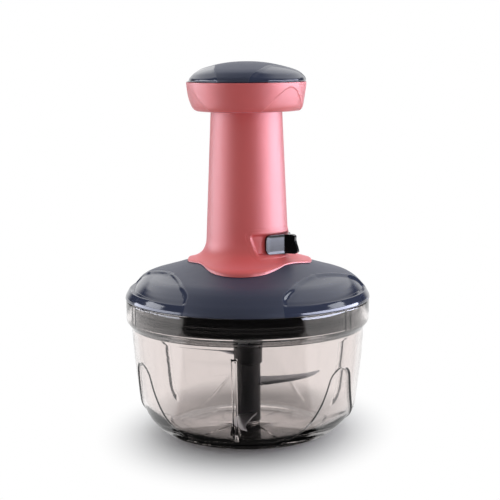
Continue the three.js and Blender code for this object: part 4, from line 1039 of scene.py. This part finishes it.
class LockOperator(bpy.types.Operator):
    """Makes the lock slider with its thumb fin"""
    bl_idname = "chopper.lock"
    bl_label = "Lock slider"

    def execute(self, context):
        s = sizes_of(context.scene.chopper_lock)
        mesh = combined(self.plate(s), [self.fin(s)], 'UNION')
        piece("lock_slider_black", mesh, "black", "lock", "lock_slider", crease=35,
              bevel=0.45)
        return {'FINISHED'}

    def plate(self, s):
        """An arc with two flat, faintly hollow faces, one on each side of the fin."""
        mesh, front = slab(60, 40)
        for vertex in mesh.verts:
            across, up = vertex.co.x + 0.5, vertex.co.y + 0.5
            z = mix(LOCK_BOTTOM, LOCK_TOP, (1 - math.cos(math.pi * up)) / 2)
            end = min(z - LOCK_BOTTOM, LOCK_TOP - z)
            inset = s.corner - math.sqrt(max(s.corner ** 2 - max(s.corner - end, 0.0) ** 2, 0.0))
            half = s.sweep - inset / s.face
            theta = mix(s.centre - half, s.centre + half, across)
            radius = s.radius
            if vertex in front:
                away = abs(theta - s.centre)
                side = (s.sweep - away) * s.face
                dish = smoothstep(min(side / 2.2, end / 1.1), 0.25, 1.2)
                radius = s.face / math.cos(away - s.face_turn) - s.dish * dish
            vertex.co = polar(radius, theta, z)
        return solid(mesh)

    def fin(self, s):
        mesh, past_painted_shade = slab(8, 20)
        low, high = LOCK_BOTTOM + 0.02, LOCK_TOP - 0.02
        root = (s.radius + s.face) / 2
        out = polar(1, s.centre + s.fin_turn, 0)
        across = polar(1, s.centre + s.fin_turn + math.pi / 2, 0)
        for vertex in mesh.verts:
            share, up = vertex.co.x + 0.5, vertex.co.y + 0.5
            end = 1 - abs(2 * up - 1)
            # The fin reaches furthest near its lower corner, and both corners are rounded
            lean = table_at(up, (0, 0.12, 0.3, 0.5, 0.7, 0.88, 1), (0.2, 0, 0.5, 1.2, 1.7, 1.6, 1.9))
            reach = s.fin_reach - lean - 1.2 * max(0.0, 1 - end / 0.18) ** 2
            side = s.fin_thickness / 2 * (1 if vertex in past_painted_shade else -1)
            vertex.co = polar(root, s.centre, mix(low, high, up)) + out * (reach - root) * share
            vertex.co += across * side
        return solid(mesh)


class BladeOperator(bpy.types.Operator):
    """Makes the blade shaft in its two parts and the three blades"""
    bl_idname = "chopper.blades"
    bl_label = "Shaft and blades"

    # Share of the reach, and the cutting edge and the back there in shares of the root
    OUTLINE = ((0.08, -0.27, 0.27), (0.15, -0.5, 0.42), (0.3, -0.49, 0.3), (0.45, -0.44, 0.24),
               (0.62, -0.34, 0.2), (0.78, -0.16, 0.22), (0.9, 0.06, 0.3), (1.0, 0.37, 0.38))
    ROWS = 6
    # Name, angle in degrees and which edge is lower
    BLADES = (("blade_top", -118, -1), ("blade_middle", 118, 1), ("blade_bottom", 0, 1))

    def execute(self, context):
        s = sizes_of(context.scene.chopper_blades)
        radius, top = s.shaft_radius, span_of("blade_shaft")[1]
        shaft = rounded([(0, 20.1), (2.9, 20.1), (2.9, 5.6, 0.3), (radius, 5.6, 0.5), (radius, top, 0.3),
                         (0, top)])
        turned("blade_shaft_charcoal", shaft, "charcoal", "blade_assembly", "blade_shaft")
        radius, (low, high) = s.socket_radius, span_of("drive_socket")
        floor = high - 12.5
        socket = rounded([(0, low), (radius, low, 0.4), (radius, high, 0.4), (5.7, high, 0.4),
                          (5.7, floor, 0.2), (0, floor)])
        ribs = [self.rib(side, floor, high - 1.6) for side in (1, -1)]
        piece("drive_socket_charcoal", combined(solid(spun(socket)), ribs, 'UNION'), "charcoal",
              "blade_assembly", "drive_socket")
        for name, degrees, lower in self.BLADES:
            mesh = self.blade(s, sum(span_of(name)) / 2, math.radians(degrees), lower * math.tan(s.tilt))
            piece(name + "_steel", mesh, "blade", "blade_assembly", name, crease=14)
        return {'FINISHED'}

    def rib(self, side, low, high):
        mesh = bmesh.new()
        bmesh.ops.create_cube(mesh, size=1)
        for vertex in mesh.verts:
            vertex.co.x = side * mix(3.4, 6.4, vertex.co.x * side + 0.5)
            vertex.co.y *= 2.4
            vertex.co.z = mix(low - 0.5, high, vertex.co.z + 0.5)
        bmesh.ops.bevel(mesh, geom=mesh.edges[:], offset=0.25, segments=2, profile=0.5, affect='EDGES',
                        material=-1)
        return solid(mesh)

    def blade(self, s, z, theta, lean):
        """A pointed plate whose convex edge is ground on both sides."""
        mesh, upper = slab(60, self.ROWS)
        curve = [Vector(point) for point in through(self.OUTLINE, 8)]
        out, across = polar(1, theta, 0), polar(1, theta + math.pi / 2, 0)
        for vertex in mesh.verts:
            share, row = vertex.co.x + 0.5, round((vertex.co.y + 0.5) * self.ROWS)
            place = share * (len(curve) - 1)
            i = min(int(place), len(curve) - 2)
            at, cutting, back = curve[i].lerp(curve[i + 1], place - i)
            width = (back - cutting) * s.root
            ground = min(s.bevel / width, 0.6) if share > 0.13 else 0.0
            up = mix(ground or 1 / self.ROWS, 1, (row - 1) / (self.ROWS - 1)) if row else 0.0
            half = 0.06 if ground and not row else 0.5
            lift = s.thickness * half * (1 if vertex in upper else -1)
            side = cutting * s.root + up * width
            vertex.co = out * at * s.reach + across * side + AXIS * (z + lift + side * lean)
        return solid(mesh)


class PlungerOperator(bpy.types.Operator):
    """Makes the plunger tube and the bush that guides it"""
    bl_idname = "chopper.plunger"
    bl_label = "Plunger"

    def execute(self, context):
        low, high = span_of("plunger_tube")
        tube = rounded([(12.8, low, 0.2), (15.5, low, 0.3), (15.5, low + 3, 0.3), (14.6, low + 3, 0.1),
                        (14.6, high, 0.3), (2.1, high, 0.2), (2.1, high - 7, 0.2), (12.8, high - 7)])
        turned("plunger_tube_natural", tube, "natural", "plunger", "plunger_tube")
        low, high = span_of("guide_bush")
        # The last point only lets the corner before it be rounded
        bush = rounded([(14.9, low), (17.24, low, 0.3), (17.24, high, 0.4), (14.9, high, 0.4),
                        (14.9, low + 1)])[:-1]
        turned("guide_bush_natural", bush, "natural", "lid", "guide_bush")
        return {'FINISHED'}


OPERATORS = (StageOperator, FinishOperator, BowlOperator, LidOperator, ColumnOperator, KnobOperator,
             LockOperator, BladeOperator, PlungerOperator)


class ChopperPanel(bpy.types.Panel):
    """Lists the steps that build the chopper"""
    bl_idname = "VIEW3D_PT_chopper"
    bl_label = "Food chopper"
    bl_space_type = 'VIEW_3D'
    bl_region_type = 'UI'
    bl_category = "Chopper"

    def draw(self, context):
        for operator in OPERATORS:
            self.layout.operator(operator.bl_idname)
        for name, group in SETTINGS.items():
            column = self.layout.column()
            column.label(text=name.split("_")[1].capitalize())
            for setting in group.__annotations__:
                column.prop(getattr(context.scene, name), setting)


def register():
    for item in (*SETTINGS.values(), *OPERATORS, ChopperPanel):
        bpy.utils.register_class(item)
    for name, group in SETTINGS.items():
        setattr(bpy.types.Scene, name, PointerProperty(type=group))


def unregister():
    for name in SETTINGS:
        delattr(bpy.types.Scene, name)
    for item in (ChopperPanel, *reversed(OPERATORS), *SETTINGS.values()):
        bpy.utils.unregister_class(item)


def main():
    register()
    for operator in OPERATORS:
        group, name = operator.bl_idname.split(".")
        getattr(getattr(bpy.ops, group), name)()


if __name__ == "__main__":
    main()
